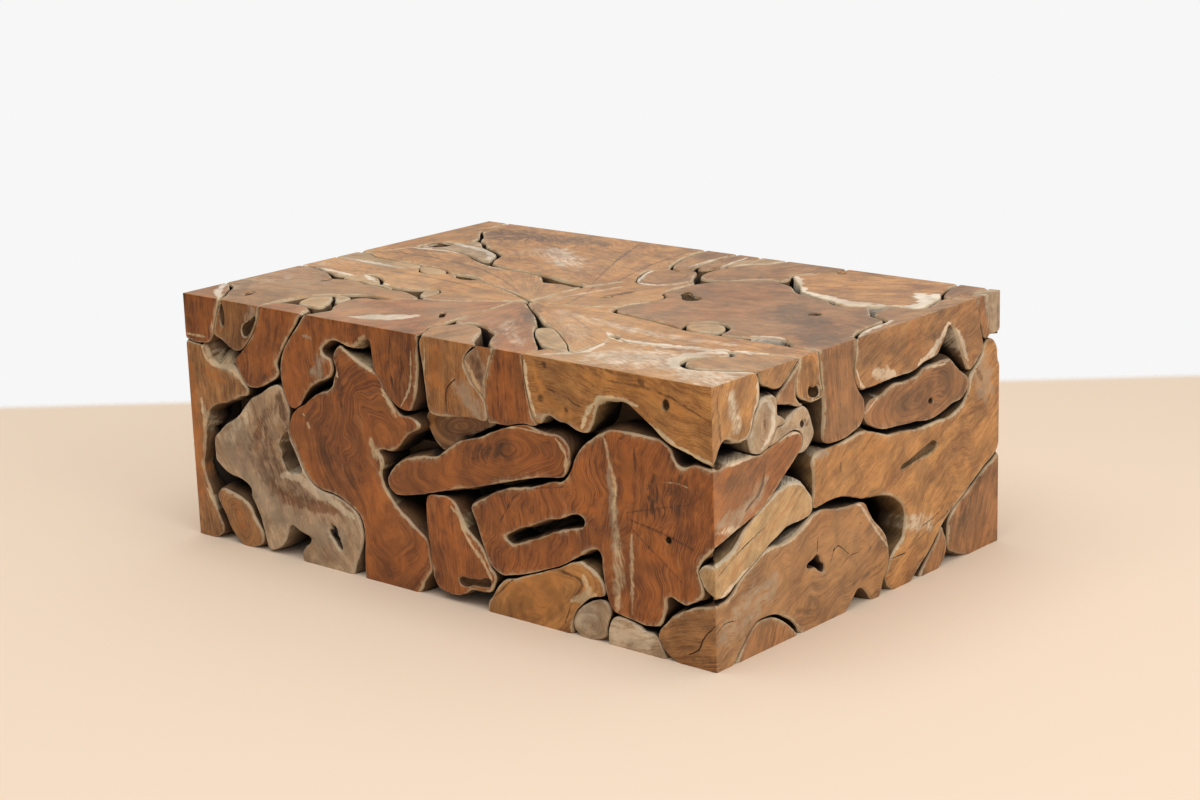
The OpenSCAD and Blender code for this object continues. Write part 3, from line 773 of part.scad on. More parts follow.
module top_slats() {
    slat_w = (inner_w - (slat_count - 1) * slat_gap) / slat_count;
    color(frame_wood) for (i = [0:slat_count - 1])
        translate([i * (slat_w + slat_gap) - inner_w / 2, -inner_d / 2, rail_top])
            cube([slat_w, inner_d, slat_t]);
}

near_corner_block();
hand_block();
log_slice();
red_root();
arch_arm();
bell_block();
left_corner_block();
grey_edge_block();
short_block();
front_arm();
grey_root();
left_wall_corner();
pebble();
low_wedge_block();
heart_block();
floor_knob();
floor_chip();
bottom_corner_root();
corner_stick();
right_arm();
dark_slab();
crown_core();
left_arm_low();
left_arm_high();
big_back_slab();
right_edge_block();
saddle_block();
back_right_slab();
back_mid_slab();
oval_slice();
back_finger_wide();
back_finger_slim();
back_finger_dark();
far_corner_block();
back_left_corner();
pale_strip();
pale_wedge();
left_wedge();
top_infill();
ear_block();
shoulder_block();
leaf_slice();
big_side_root();
far_bottom_corner();
side_infill();
left_mid_block();
left_floor_block();
left_back_corner();
back_left_root();
back_centre_root();
back_right_root();
back_floor_left();
back_floor_centre();
back_floor_right();
inner_root_log();
corner_posts();
long_rails();
short_rails();
top_slats();
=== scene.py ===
"""Looks of a teak root mosaic coffee table: sawn root blocks around a plain timber frame."""
import json
import logging
import math
from collections import defaultdict
from dataclasses import dataclass, field
from enum import Enum

import bmesh
import bpy
import numpy as np
from mathutils import Matrix, Vector, geometry, noise

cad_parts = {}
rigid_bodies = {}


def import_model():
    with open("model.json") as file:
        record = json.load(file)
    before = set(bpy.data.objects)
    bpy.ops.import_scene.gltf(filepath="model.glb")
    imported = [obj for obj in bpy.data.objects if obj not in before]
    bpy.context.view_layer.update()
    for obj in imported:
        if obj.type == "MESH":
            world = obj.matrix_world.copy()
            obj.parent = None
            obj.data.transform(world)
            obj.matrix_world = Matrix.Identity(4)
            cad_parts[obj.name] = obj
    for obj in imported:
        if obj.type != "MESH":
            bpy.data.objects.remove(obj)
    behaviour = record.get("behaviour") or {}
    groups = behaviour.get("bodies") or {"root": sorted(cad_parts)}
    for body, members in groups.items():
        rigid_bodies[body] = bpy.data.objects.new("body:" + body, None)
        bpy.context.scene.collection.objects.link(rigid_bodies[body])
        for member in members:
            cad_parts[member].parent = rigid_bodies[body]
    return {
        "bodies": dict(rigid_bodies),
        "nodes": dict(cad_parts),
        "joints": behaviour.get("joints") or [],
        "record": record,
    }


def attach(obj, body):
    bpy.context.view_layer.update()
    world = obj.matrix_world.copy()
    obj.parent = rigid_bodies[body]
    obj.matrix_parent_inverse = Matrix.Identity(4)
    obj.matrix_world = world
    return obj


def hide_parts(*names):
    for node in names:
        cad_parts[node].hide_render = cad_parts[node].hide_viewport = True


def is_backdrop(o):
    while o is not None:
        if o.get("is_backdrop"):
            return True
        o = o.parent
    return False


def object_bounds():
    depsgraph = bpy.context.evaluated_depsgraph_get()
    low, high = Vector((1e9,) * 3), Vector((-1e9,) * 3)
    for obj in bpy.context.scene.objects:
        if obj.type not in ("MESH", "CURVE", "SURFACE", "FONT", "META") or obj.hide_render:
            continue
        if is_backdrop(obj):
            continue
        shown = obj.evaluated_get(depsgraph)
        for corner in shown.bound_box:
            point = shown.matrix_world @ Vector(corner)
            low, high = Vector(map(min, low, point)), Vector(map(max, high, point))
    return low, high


log = logging.getLogger("table")

# Lengths are in millimetres, apart from those of the timber frame and the studio, in metres.
MM = 0.001
SEAM_NOISE = 18.0
CURVE_STEP = 3.0
SAWN_STEP = 6.0
MARK_STEP = 7.0
CAP_PITCH = 7.0
POINT_CELL = 0.9
SHORTEST_EDGE = 0.25
LEAST_CORNERS = 4
LEAST_POINTS = 6
LEAST_FACE = 60.0
LEAST_HOLE = 20.0
EDGE_WEAR = 1.7
CALM_RIM = 30.0
UNEVEN = 0.35
BLOCK_DEPTH = 64.0
INNER_LOG = "inner_root_log"
LOG_SETBACK = 24.0
WALL_ROWS = (6.0, 12.0, 20.0, 32.0, 46.0, 64.0)
FLARE_SHAPE = (0.35, 0.62, 0.86, 1.0, 0.9, 0.6)
ON_PLANE = 0.02
FAR_GAP = 60.0
SAWN_GAP = 3.0
# Room counted at blind hollows: little on the cap by their rims, which narrows the pale rim, and
# much on their walls, which keeps the painted shade there light.
HOLLOW_GAP, HOLLOW_ROOM = 0.5, 50.0
# Painted sheen with some sun bleaching: how much paler each outer face is painted, none on the
# front.
BLEACH_AND_SHEEN = {"top": 0.16, "right": 0.08, "left": 0.06, "back": 0.06, "front": 0.0}
CORNER_TURN = math.radians(40)
SEED_STEP = 0.61803
RAY_BATCH, LINE_BATCH, POINT_BATCH = 256, 1024, 4096
TINY = 1e-9


def put_in_scene(name: str, data: bpy.types.ID) -> bpy.types.Object:
    """Makes an object from its data and puts it in the scene.

    Args:
        name: the object's name.
        data: its mesh, lamp or camera.

    Returns:
        The object.
    """
    made = bpy.data.objects.new(name, data)
    bpy.context.scene.collection.objects.link(made)
    return made


def linear(hex_colour: str) -> tuple[float, float, float, float]:
    """Turns a hex colour as seen on a screen into scene-linear values.

    Args:
        hex_colour: six hex digits.

    Returns:
        Red, green, blue and an alpha of 1.
    """
    parts = [int(hex_colour[i:i + 2], 16) / 255 for i in (0, 2, 4)]
    r, g, b = (c / 12.92 if c <= 0.04045 else ((c + 0.055) / 1.055) ** 2.4 for c in parts)
    return (r, g, b, 1.0)


class Side(Enum):
    """The five outer faces of the table."""

    FRONT = "front"
    RIGHT = "right"
    TOP = "top"
    LEFT = "left"
    BACK = "back"


class Figure(Enum):
    """How the grain runs over a sawn face."""

    FLAME = "long grain with cathedral arches"
    RINGS = "rings round a heart, as in a slice"
    BURR = "swirls of a root burr"
    FAN = "grain that runs out from the crown's centre"


class Kind(Enum):
    """What a mark does to the wood."""

    PALE = 0
    DARK = 1
    GREY = 2
    WARM = 3
    CUT = 4
    SLOPE = 5


@dataclass(frozen=True)
class Plane:
    """One outer plane of the table and the two axes in which outlines on it are measured.

    Sizes are in millimetres. A depth is measured inwards from the plane.
    """

    side: Side
    u_axis: int
    v_axis: int
    normal_axis: int
    outward: int
    level: float
    limits: tuple[tuple[int, int, float], ...]
    floor: bool

    @property
    def mirrored(self) -> bool:
        """Whether u, v and the outward direction make a left-handed set."""
        return self.side in (Side.LEFT, Side.BACK)

    def flat(self, points: np.ndarray) -> np.ndarray:
        """Drops points of the model onto the plane's own two axes."""
        return points[:, [self.u_axis, self.v_axis]]

    def depth(self, points: np.ndarray) -> np.ndarray:
        """Tells how far points lie behind the plane."""
        return (self.level - points[:, self.normal_axis]) * self.outward

    def solid(self, flat: np.ndarray, depth: np.ndarray) -> np.ndarray:
        """Puts points of the plane back into the model at their depths.

        Args:
            flat: points on the plane.
            depth: their depths.

        Returns:
            The points in the model.
        """
        out = np.zeros((len(flat), 3))
        out[:, self.u_axis] = flat[:, 0]
        out[:, self.v_axis] = flat[:, 1]
        out[:, self.normal_axis] = self.level - self.outward * depth
        return out

    def within(self, flat: np.ndarray, depth: np.ndarray) -> np.ndarray:
        """Keeps points inside the mitres with the neighbouring faces and above the floor.

        Args:
            flat: points on the plane.
            depth: their depths.

        Returns:
            The points, moved back to a mitre where they crossed one.
        """
        out = flat.copy()
        for axis, sign, limit in self.limits:
            reach = limit - depth
            out[:, axis] = sign * np.minimum(sign * out[:, axis], reach)
        if self.floor:
            out[:, 1] = np.maximum(out[:, 1], 0.0)
        return out

    def sawn_distance(self, flat: np.ndarray) -> np.ndarray:
        """Gives each point's distance to the nearest mitred edge of the table."""
        gaps = [limit - sign * flat[:, axis] for axis, sign, limit in self.limits]
        return np.min(gaps, axis=0)


def table_planes(low: Vector, high: Vector) -> dict[Side, Plane]:
    """Makes the five outer planes from the table's box.

    Args:
        low: lowest corner, in metres; not used.
        high: highest corner, in metres.

    Returns:
        The planes by side.
    """
    half_w, half_d, top = high.x / MM, high.y / MM, high.z / MM
    across = ((0, 1, half_w), (0, -1, half_w), (1, 1, top))
    along = ((0, 1, half_d), (0, -1, half_d), (1, 1, top))
    over = ((0, 1, half_w), (0, -1, half_w), (1, 1, half_d), (1, -1, half_d))
    return {
        Side.FRONT: Plane(Side.FRONT, 0, 2, 1, -1, -half_d, across, True),
        Side.BACK: Plane(Side.BACK, 0, 2, 1, 1, half_d, across, True),
        Side.RIGHT: Plane(Side.RIGHT, 1, 2, 0, 1, half_w, along, True),
        Side.LEFT: Plane(Side.LEFT, 1, 2, 0, -1, -half_w, along, True),
        Side.TOP: Plane(Side.TOP, 0, 1, 2, 1, top, over, False),
    }


@dataclass
class Loop:
    """One closed outline on a plane, with what the block's edge is like along it.

    Attributes:
        points: the outline, solid on its left.
        sawn: for each point, whether it lies on a straight table edge or on the floor.
        gap: room in front of each point before the next wood.
        radius: how far the edge there is worn round.
        bottom: depth of a blind hollow, or 0 for an outline that runs through the block.
    """

    points: np.ndarray
    sawn: np.ndarray
    gap: np.ndarray = field(default_factory=lambda: np.zeros(0))
    radius: np.ndarray = field(default_factory=lambda: np.zeros(0))
    bottom: float = 0.0

    def outward(self) -> np.ndarray:
        """Gives the direction out of the wood at each point.

        Returns:
            Unit vectors.
        """
        along = np.roll(self.points, -1, axis=0) - np.roll(self.points, 1, axis=0)
        along /= np.maximum(np.linalg.norm(along, axis=1, keepdims=True), TINY)
        return np.stack([along[:, 1], -along[:, 0]], axis=1)

    def area(self) -> float:
        """Gives the signed area, which is negative for a hole."""
        x, y = self.points.T
        return 0.5 * float(np.sum(x * np.roll(y, -1) - y * np.roll(x, -1)))


@dataclass
class Cap:
    """The sawn face of one block on one plane: an outline, its holes and then its hollows."""

    node: str
    plane: Plane
    setback: float
    loops: list[Loop]

    @property
    def through(self) -> list[Loop]:
        """The outlines that run through the block."""
        return [loop for loop in self.loops if not loop.bottom]


def merged_triangles(mesh: bpy.types.Mesh) -> tuple[np.ndarray, np.ndarray]:
    """Reads a node's mesh with its doubled corners merged.

    Args:
        mesh: the node's mesh, in metres.

    Returns:
        Corner positions in millimetres, and triangles as rows of corner numbers.
    """
    mesh.calc_loop_triangles()
    co = np.zeros(len(mesh.vertices) * 3, np.float32)
    mesh.vertices.foreach_get("co", co)
    tri = np.zeros(len(mesh.loop_triangles) * 3, np.int32)
    mesh.loop_triangles.foreach_get("vertices", tri)
    rounded = np.round(co.reshape(-1, 3).astype(float) / MM, 2)
    places, index = np.unique(rounded, axis=0, return_inverse=True)
    return places, index.reshape(-1)[tri].reshape(-1, 3)


def chained(triangles: np.ndarray) -> list[list[int]]:
    """Chains the open edges of a patch of triangles into closed loops.

    Args:
        triangles: rows of corner numbers.

    Returns:
        Loops of corner numbers, in the triangles' own sense of turning.
    """
    directed = {(int(a), int(b)) for t in triangles
                for a, b in ((t[0], t[1]), (t[1], t[2]), (t[2], t[0])) if a != b}
    onward = defaultdict(list)
    for a, b in sorted(directed):
        if (b, a) not in directed:
            onward[a].append(b)
    loops = []
    while onward:
        start = min(onward)
        loop, here = [], start
        while onward.get(here):
            loop.append(here)
            following = onward[here].pop(0)
            if not onward[here]:
                del onward[here]
            here = following
            if here == start:
                break
        if len(loop) > 2:
            loops.append(loop)
    return loops


def tangents(points: np.ndarray, closed: bool) -> np.ndarray:
    """Gives the slope of a smooth curve through points, per unit of chord length.

    Args:
        points: what the curve goes through.
        closed: whether it comes back round.

    Returns:
        The slope at each point.
    """
    if closed:
        before, after = np.roll(points, 1, axis=0), np.roll(points, -1, axis=0)
    else:
        before = np.vstack([2 * points[:1] - points[1:2], points[:-1]])
        after = np.vstack([points[1:], 2 * points[-1:] - points[-2:-1]])
    back, ahead = points - before, after - points
    h0 = np.maximum(np.linalg.norm(back, axis=1, keepdims=True), 1e-6)
    h1 = np.maximum(np.linalg.norm(ahead, axis=1, keepdims=True), 1e-6)
    return (ahead / h1 * h0 + back / h0 * h1) / (h0 + h1)


def smooth_run(points: np.ndarray, closed: bool, step: float) -> np.ndarray:
    """Runs a smooth curve through points, at an even step, without the last point.

    Args:
        points: what the curve goes through.
        closed: whether it comes back to its first point.
        step: distance between the points it gives back.

    Returns:
        Points along the curve.
    """
    slope = tangents(points, closed)
    count = len(points) if closed else len(points) - 1
    out = []
    for i in range(count):
        j = (i + 1) % len(points)
        p, q = points[i], points[j]
        length = float(np.linalg.norm(q - p))
        pieces = max(1, round(length / step))
        t = (np.arange(pieces) / pieces)[:, None]
        m0, m1 = slope[i] * length, slope[j] * length
        out.append((2 * t**3 - 3 * t**2 + 1) * p + (t**3 - 2 * t**2 + t) * m0
                   + (-2 * t**3 + 3 * t**2) * q + (t**3 - t**2) * m1)
    return np.vstack(out)


def limit_bits(plane: Plane, points: np.ndarray) -> np.ndarray:
    """Marks, with a bit for each, the straight edges that points of an outline lie on.

    Args:
        plane: the outline's plane.
        points: its points.

    Returns:
        The bits for each point.
    """
    bits = np.zeros(len(points), int)
    for number, (axis, sign, limit) in enumerate(plane.limits):
        bits |= (np.abs(limit - sign * points[:, axis]) < ON_PLANE * 4).astype(int) << number
    if plane.floor:
        bits |= (points[:, 1] < ON_PLANE * 4).astype(int) << len(plane.limits)
    return bits


def refined(plane: Plane, corners: np.ndarray) -> Loop | None:
    """Turns a node's outline into a smooth one with even points.

    Args:
        plane: the plane it lies on.
        corners: the outline's corners, solid on the left.

    Returns:
        The loop, or nothing where it is too small to be a piece of wood.
    """
    keep = np.linalg.norm(corners - np.roll(corners, 1, axis=0), axis=1) > SHORTEST_EDGE
    points = corners[keep]
    if len(points) < LEAST_CORNERS:
        return None
    bits = limit_bits(plane, points)
    shared = bits & np.roll(bits, -1)
    ahead = np.roll(points, -1, axis=0) - points
    heading = np.arctan2(ahead[:, 1], ahead[:, 0])
    turn = np.abs((heading - np.roll(heading, 1) + math.pi) % (2 * math.pi) - math.pi)
    corner = (turn > CORNER_TURN) | (shared != np.roll(shared, 1))
    starts = np.flatnonzero(corner)
    if len(starts) == 0:
        line = smooth_run(points, True, CURVE_STEP)
        return Loop(line, np.zeros(len(line), bool))
    runs, sawn = [], []
    for a, b in zip(starts, np.roll(starts, -1)):
        count = (b - a) % len(points) or len(points)
        run = points[(a + np.arange(count + 1)) % len(points)]
        straight = bool(shared[a])
        if straight:
            run = run[[0, -1]]
        line = smooth_run(run, False, SAWN_STEP if straight else CURVE_STEP)
        runs.append(line)
        flags = np.full(len(line), straight)
        flags[0] = straight or bool(shared[(a - 1) % len(points)])
        sawn.append(flags)
    line = np.vstack(runs)
    return Loop(line, np.concatenate(sawn)) if len(line) >= LEAST_POINTS else None


def rays(origins: np.ndarray, ways: np.ndarray, start: np.ndarray, end: np.ndarray) -> np.ndarray:
    """Measures how far rays run before they meet a line.

    Args:
        origins: where the rays start.
        ways: their directions, one for each origin.
        start: first ends of the lines.
        end: second ends of the lines.

    Returns:
        The distance for each ray, no more than the far gap.
    """
    reach = np.full(len(origins), FAR_GAP)
    line = end - start
    for i in range(0, len(origins), RAY_BATCH):
        batch = slice(i, i + RAY_BATCH)
        p, n = origins[batch, None, :], ways[batch, None, :]
        away = start[None] - p
        cross = n[..., 0] * line[None, :, 1] - n[..., 1] * line[None, :, 0]
        cross = np.where(np.abs(cross) < TINY, TINY, cross)
        t = (away[..., 0] * line[None, :, 1] - away[..., 1] * line[None, :, 0]) / cross
        s = (away[..., 0] * n[..., 1] - away[..., 1] * n[..., 0]) / cross
        hit = np.where((t > 0.05) & (s >= 0) & (s <= 1), t, FAR_GAP)
        reach[batch] = np.minimum(reach[batch], hit.min(axis=1))
    return reach


def line_distance(points: np.ndarray, start: np.ndarray, end: np.ndarray
                  ) -> tuple[np.ndarray, np.ndarray]:
    """Measures points against lines.

    Args:
        points: the points.
        start: first ends of the lines.
        end: second ends of the lines.

    Returns:
        Each point's distance to its nearest line, and that line's number.
    """
    best, which = np.zeros(len(points)), np.zeros(len(points), int)
    line = end - start
    square = np.maximum((line**2).sum(axis=1), TINY)
    for i in range(0, len(points), LINE_BATCH):
        batch = slice(i, i + LINE_BATCH)
        away = points[batch, None, :] - start[None]
        t = np.clip((away * line[None]).sum(axis=2) / square, 0, 1)
        d = np.linalg.norm(away - t[..., None] * line[None], axis=2)
        which[batch] = d.argmin(axis=1)
        best[batch] = d.min(axis=1)
    return best, which


def ring_mean(values: np.ndarray, reach: int) -> np.ndarray:
    """Evens out values round a closed loop over a few neighbours each way."""
    return np.mean([np.roll(values, k) for k in range(-reach, reach + 1)], axis=0)


def noise_at(points: np.ndarray, scale: float, shift: float = 0.0) -> np.ndarray:
    """Reads smooth noise, from about -1 to 1, at points in millimetres.

    Args:
        points: two or three coordinates each.
        scale: size of the noise's features.
        shift: moves to another part of the noise.

    Returns:
        One value for each point.
    """
    flat = np.zeros((len(points), 3))
    flat[:, :points.shape[1]] = points / scale
    flat[:, 2] += shift
    return np.array([noise.noise(Vector(p)) for p in flat])


def inside(points: np.ndarray, loops: list[Loop]) -> np.ndarray:
    """Tells which points lie in the wood, by counting the outlines that a ray crosses.

    Args:
        points: the points.
        loops: the outlines.

    Returns:
        Whether each lies inside.
    """
    odd = np.zeros(len(points), bool)
    for loop in loops:
        a, b = loop.points, np.roll(loop.points, -1, axis=0)
        for i in range(0, len(points), POINT_BATCH):
            batch = slice(i, i + POINT_BATCH)
            p = points[batch, None, :]
            spans = (a[None, :, 1] > p[..., 1]) != (b[None, :, 1] > p[..., 1])
            rise = np.where(np.abs(b[:, 1] - a[:, 1]) < 1e-12, 1e-12, b[:, 1] - a[:, 1])
            x = a[None, :, 0] + (p[..., 1] - a[None, :, 1]) * (b[:, 0] - a[:, 0]) / rise
            odd[batch] ^= ((spans & (p[..., 0] < x)).sum(axis=1) % 2).astype(bool)
    return odd


def triangulated(flat: np.ndarray, loops: list[Loop]) -> tuple[list, np.ndarray, np.ndarray]:
    """Joins points into triangles that keep the edges of outlines.

    Args:
        flat: the outlines' points, loop by loop, and then any others.
        loops: the outlines.

    Returns:
        The points used, the triangles, and for each point its number in what went in, or -1
        where two outlines cross.
    """
    edges, first = [], 0
    for loop in loops:
        number = len(loop.points)
        edges += [(first + i, first + (i + 1) % number) for i in range(number)]
        first += number
    made, _, triangles, origins, _, _ = geometry.delaunay_2d_cdt(
        [Vector(p) for p in flat], edges, [], 0, 1e-5, True)
    return made, np.array(triangles), np.array([min(o) if o else -1 for o in origins])


def crosses(loops: list[Loop]) -> bool:
    """Tells whether outlines cross themselves or each other."""
    return bool((triangulated(np.vstack([loop.points for loop in loops]), loops)[2] < 0).any())


@dataclass(frozen=True)
class Mark:
    """Something that shows at one place on a sawn face: pale sapwood, a dark streak or a cut.

    Attributes:
        side: the face it is on.
        kind: what it does to the wood.
        path: the points of its middle line, in millimetres on that face.
        width: half its width.
        amount: how strong it is, or how deep for a cut, in millimetres.
        nodes: the blocks that it is kept to, or none for all.
    """

    side: Side
    kind: Kind
    path: tuple[tuple[float, float], ...]
    width: float
    amount: float
    nodes: tuple[str, ...] = ()

    def lines(self) -> tuple[np.ndarray, np.ndarray]:
        """Gives the start and end points of the straight parts of a smooth middle line.

        Returns:
            The start points and the end points.
        """
        way = np.array(self.path, float)
        if len(way) > 1:
            way = np.vstack([smooth_run(way, False, MARK_STEP), way[-1:]])
        else:
            way = np.vstack([way, way])
        return way[:-1], way[1:]

    def touches(self, cap: Cap) -> bool:
        """Tells whether the mark can show on a cap.

        Args:
            cap: the sawn face.

        Returns:
            Whether it can.
        """
        if cap.plane.side is not self.side or (self.nodes and cap.node not in self.nodes):
            return False
        box = np.vstack([loop.points for loop in cap.loops])
        way = np.array(self.path)
        room = 3 * self.width
        return bool(np.all(way.max(axis=0) + room > box.min(axis=0))
                    and np.all(way.min(axis=0) - room < box.max(axis=0)))

    def weight(self, points: np.ndarray) -> np.ndarray:
        """Gives the mark's strength at points, from 0 to 1: it wanders and thins at its ends.

        Args:
            points: points of the face.

        Returns:
            The strength at each point.
        """
        start, end = self.lines()
        out = np.zeros(len(points))
        away, which = line_distance(points, start, end)
        near = np.flatnonzero(away < 3 * self.width)
        if not len(near):
            return out
        spot, which = points[near], which[near]
        part = end - start
        run = np.linalg.norm(part, axis=1)
        t = ((spot - start[which]) * part[which]).sum(axis=1) / np.maximum(run[which]**2, TINY)
        share = (np.cumsum(run)[which] - run[which] * (1 - np.clip(t, 0, 1))) / max(run.sum(), TINY)
        width = self.width * (0.8 + 0.6 * noise_at(spot, 17.0, self.width))
        if run.sum() > 4 * self.width:
            width = width * (0.35 + 0.65 * np.sqrt(np.maximum(np.sin(share * math.pi), 0)))
        shake = min(0.4 * self.width, 3.0)
        wobble = np.stack([noise_at(spot, 8.0, 3.0), noise_at(spot, 8.0, 9.0)], axis=1)
        moved = spot + shake * wobble
        ratio = line_distance(moved, start, end)[0] / np.maximum(width, 0.5)
        out[near] = np.clip(1 - ratio**2 if self.kind is Kind.CUT else 1.5 - ratio, 0, 1)
        return out

    def samples(self) -> np.ndarray:
        """Gives extra points of the face that the mark needs to show its form.

        Returns:
            The points, in rows across the mark.
        """
        start, end = self.lines()
        if len(start) > 1:
            start, end = start[::2], np.vstack([start[2::2], end[-1:]])
        fineness, rows = (0.45, 9) if self.kind is Kind.CUT else (0.7, 5)
        step = max(1.2, self.width * fineness)
        across = np.linspace(-1.5, 1.5, rows)
        out = []
        for a, b in zip(start, end):
            length = float(np.linalg.norm(b - a))
            way = (b - a) / length if length > 1e-6 else np.array([1.0, 0.0])
            side = np.array([-way[1], way[0]])
            margin = 1.5 * self.width
            for t in np.arange(-margin, length + margin, step):
                out.extend(a + way * t + side * self.width * k for k in across)
        return np.array(out)


@dataclass(frozen=True)
class Grain:
    """The figure of one sawn face.

    Attributes:
        figure: how the grain runs.
        angle: the direction it runs in, in degrees from the face's first axis.
        heart: the centre of rings or of a fan.
        bend: how strongly it wanders, in millimetres.
    """

    figure: Figure
    angle: float
    heart: tuple[float, float] | None
    bend: float

    def coordinates(self, points: np.ndarray, rim: np.ndarray, middle: np.ndarray, shift: float
                    ) -> np.ndarray:
        """Lays the grain over a face.

        Args:
            points: points of the face.
            rim: their distance from the outline.
            middle: the face's own middle.
            shift: a number that makes this block's noise its own.

        Returns:
            For each point, how far across the grain it lies and how far along.
        """
        angle = math.radians(self.angle)
        way = np.array([math.cos(angle), math.sin(angle)])
        side = np.array([-way[1], way[0]])
        heart = np.array(self.heart) if self.heart else middle
        away = points - heart
        along, across = away @ way, away @ side
        wander = self.bend * noise_at(points, 95.0, shift) + self.bend * 0.35 * noise_at(
            points, 34.0, shift + 7.0)
        if self.figure is Figure.RINGS:
            ring = np.sqrt((along * 0.5)**2 + across**2)
            return np.stack([0.75 * ring - 0.35 * rim + wander, 0.4 * along], axis=1)
        if self.figure is Figure.FAN:
            distance = np.linalg.norm(away, axis=1)
            return np.stack([np.arctan2(across, along) * 150 + 0.5 * wander, distance], axis=1)
        if self.figure is Figure.BURR:
            swirl = 18 * noise_at(points, 70.0, shift + 3.0) + 6 * noise_at(points, 24.0, shift)
            return np.stack([0.8 * across + swirl + wander, 0.7 * along + 0.5 * swirl], axis=1)
        arch = along**2 / 900.0
        return np.stack([across + wander + 0.25 * arch, along], axis=1)


class BlockShape:
    """Builds the closed solids of one block from its sawn caps.

    Attributes:
        vertices: positions in millimetres, part by part.
        faces: rows of vertex numbers.
        layers: values kept on the vertices for the finish.
    """

    def __init__(self, seed: float) -> None:
        """Starts an empty block.

        Args:
            seed: a number from 0 to 1 that sets this block apart.
        """
        self.seed = seed
        self.vertices: list[np.ndarray] = []
        self.faces: list[list[int]] = []
        self.layers: dict[str, list[np.ndarray]] = defaultdict(list)
        self.count = 0

    def add(self, cap: Cap, grain: Grain, marks: list[Mark]) -> None:
        """Adds the part of the block behind one cap.

        Args:
            cap: the sawn face with its outlines.
            grain: the figure on it.
            marks: what shows at places on it.
        """
        plane, loops = cap.plane, cap.loops
        start = np.vstack([loop.points for loop in loops])
        end = np.vstack([np.roll(loop.points, -1, axis=0) for loop in loops])
        natural = ~np.concatenate([loop.sawn & np.roll(loop.sawn, -1) for loop in loops])
        radius = np.concatenate([loop.radius for loop in loops])
        gap = np.concatenate([loop.gap for loop in loops])
        count = len(start)
        whole = np.vstack([start, self.inner_points(cap, marks, start, end)])
        triangles = self.filled(whole, loops)
        edge, nearest = line_distance(whole, start[natural], end[natural]) \
            if natural.any() else (np.full(len(whole), FAR_GAP), np.zeros(len(whole), int))
        owner = np.flatnonzero(natural)[nearest] if natural.any() else nearest
        worn = radius[owner]
        sink = worn - np.sqrt(np.maximum(worn**2 - (worn - np.minimum(edge, worn))**2, 0))
        sawn = np.maximum(plane.sawn_distance(whole), 0) if cap.setback == 0 \
            else np.full(len(whole), FAR_GAP)
        bevel = np.maximum(sawn, EDGE_WEAR * (1 - math.sqrt(0.5)))
        sink = np.maximum(sink, EDGE_WEAR - np.sqrt(np.maximum(
            EDGE_WEAR**2 - (EDGE_WEAR - np.minimum(bevel, EDGE_WEAR))**2, 0)))
        calm = np.clip(np.minimum(sawn, edge) / CALM_RIM, 0, 1)
        sink = sink + calm * UNEVEN * (1 + noise_at(whole, 70.0, self.seed * 50))
        tints = np.zeros((len(whole), len(Kind)))
        for mark in marks:
            weight, number = mark.weight(whole), mark.kind.value
            strength = 1.0 if mark.kind is Kind.CUT else mark.amount
            tints[:, number] = np.maximum(tints[:, number], weight * strength)
            if mark.kind is Kind.CUT:
                ragged = 0.8 + 0.3 * noise_at(whole, 4.0, self.seed)
                sink = sink + mark.amount * weight * ragged * np.clip(edge / 2.0, 0, 1)
        middle = whole[:count].mean(axis=0)
        lines = grain.coordinates(whole, edge, middle, self.seed * 90)
        rows = [(whole, sink, lines, edge, np.zeros(len(whole)))]
        rows += self.wall_rows(cap, sink[:count], gap, lines[:count],
                               tints[:count, Kind.SLOPE.value])
        blind = np.concatenate([np.full(len(loop.points), bool(loop.bottom)) for loop in loops])
        self.collect(cap, rows, triangles, np.where(blind, HOLLOW_GAP, gap)[owner],
                     np.where(blind, HOLLOW_ROOM, gap), tints)

    def inner_points(self, cap: Cap, marks: list[Mark], start: np.ndarray, end: np.ndarray
                     ) -> np.ndarray:
        """Chooses the points inside a cap: rings by its worn edge, a loose grid, and marks.

        Args:
            cap: the sawn face.
            marks: what shows on it.
            start: first ends of the outline's lines.
            end: second ends of those lines.

        Returns:
            The points, none of them on the outline.
        """
        rng = np.random.default_rng(int(self.seed * 1e6))
        low, high = start.min(axis=0), start.max(axis=0)
        nx, ny = np.ceil((high - low) / CAP_PITCH).astype(int) + 1
        grid = np.stack(np.meshgrid(np.arange(nx), np.arange(ny)), axis=-1).reshape(-1, 2)
        grid = low + (grid + rng.uniform(-0.32, 0.32, grid.shape)) * CAP_PITCH
        groups = [(grid, 3.6)]
        for loop in cap.loops:
            inwards = -loop.outward()
            for share in (0.3, 1.0):
                step = np.maximum(loop.radius, 0.8)[:, None] * share
                groups.append((loop.points + inwards * step, 0.22 + 0.35 * share))
            groups.append((loop.points[::2] + inwards[::2] * 4.5, 2.6))
        for mark in marks:
            groups.append((mark.samples(), 1.6))
        kept = []
        for points, room in groups:
            distance, _ = line_distance(points, start, end)
            good = points[distance > room]
            if len(good):
                kept.append(good[inside(good, cap.loops)])
        points = np.vstack(kept)
        cell = np.round(points / POINT_CELL).astype(int)
        _, first = np.unique(cell, axis=0, return_index=True)
        return points[np.sort(first)]

    @staticmethod
    def filled(flat: np.ndarray, loops: list[Loop]) -> np.ndarray:
        """Fills outlines with triangles through given points.

        Args:
            flat: the outlines' points, loop by loop, and then the inner ones.
            loops: the outlines.

        Returns:
            The triangles, as rows of point numbers.
        """
        made, triangles, index = triangulated(flat, loops)
        middle = np.array([p[:] for p in made])[triangles].mean(axis=1)
        triangles = index[triangles[inside(middle, loops)]]
        return triangles[(triangles >= 0).all(axis=1)]

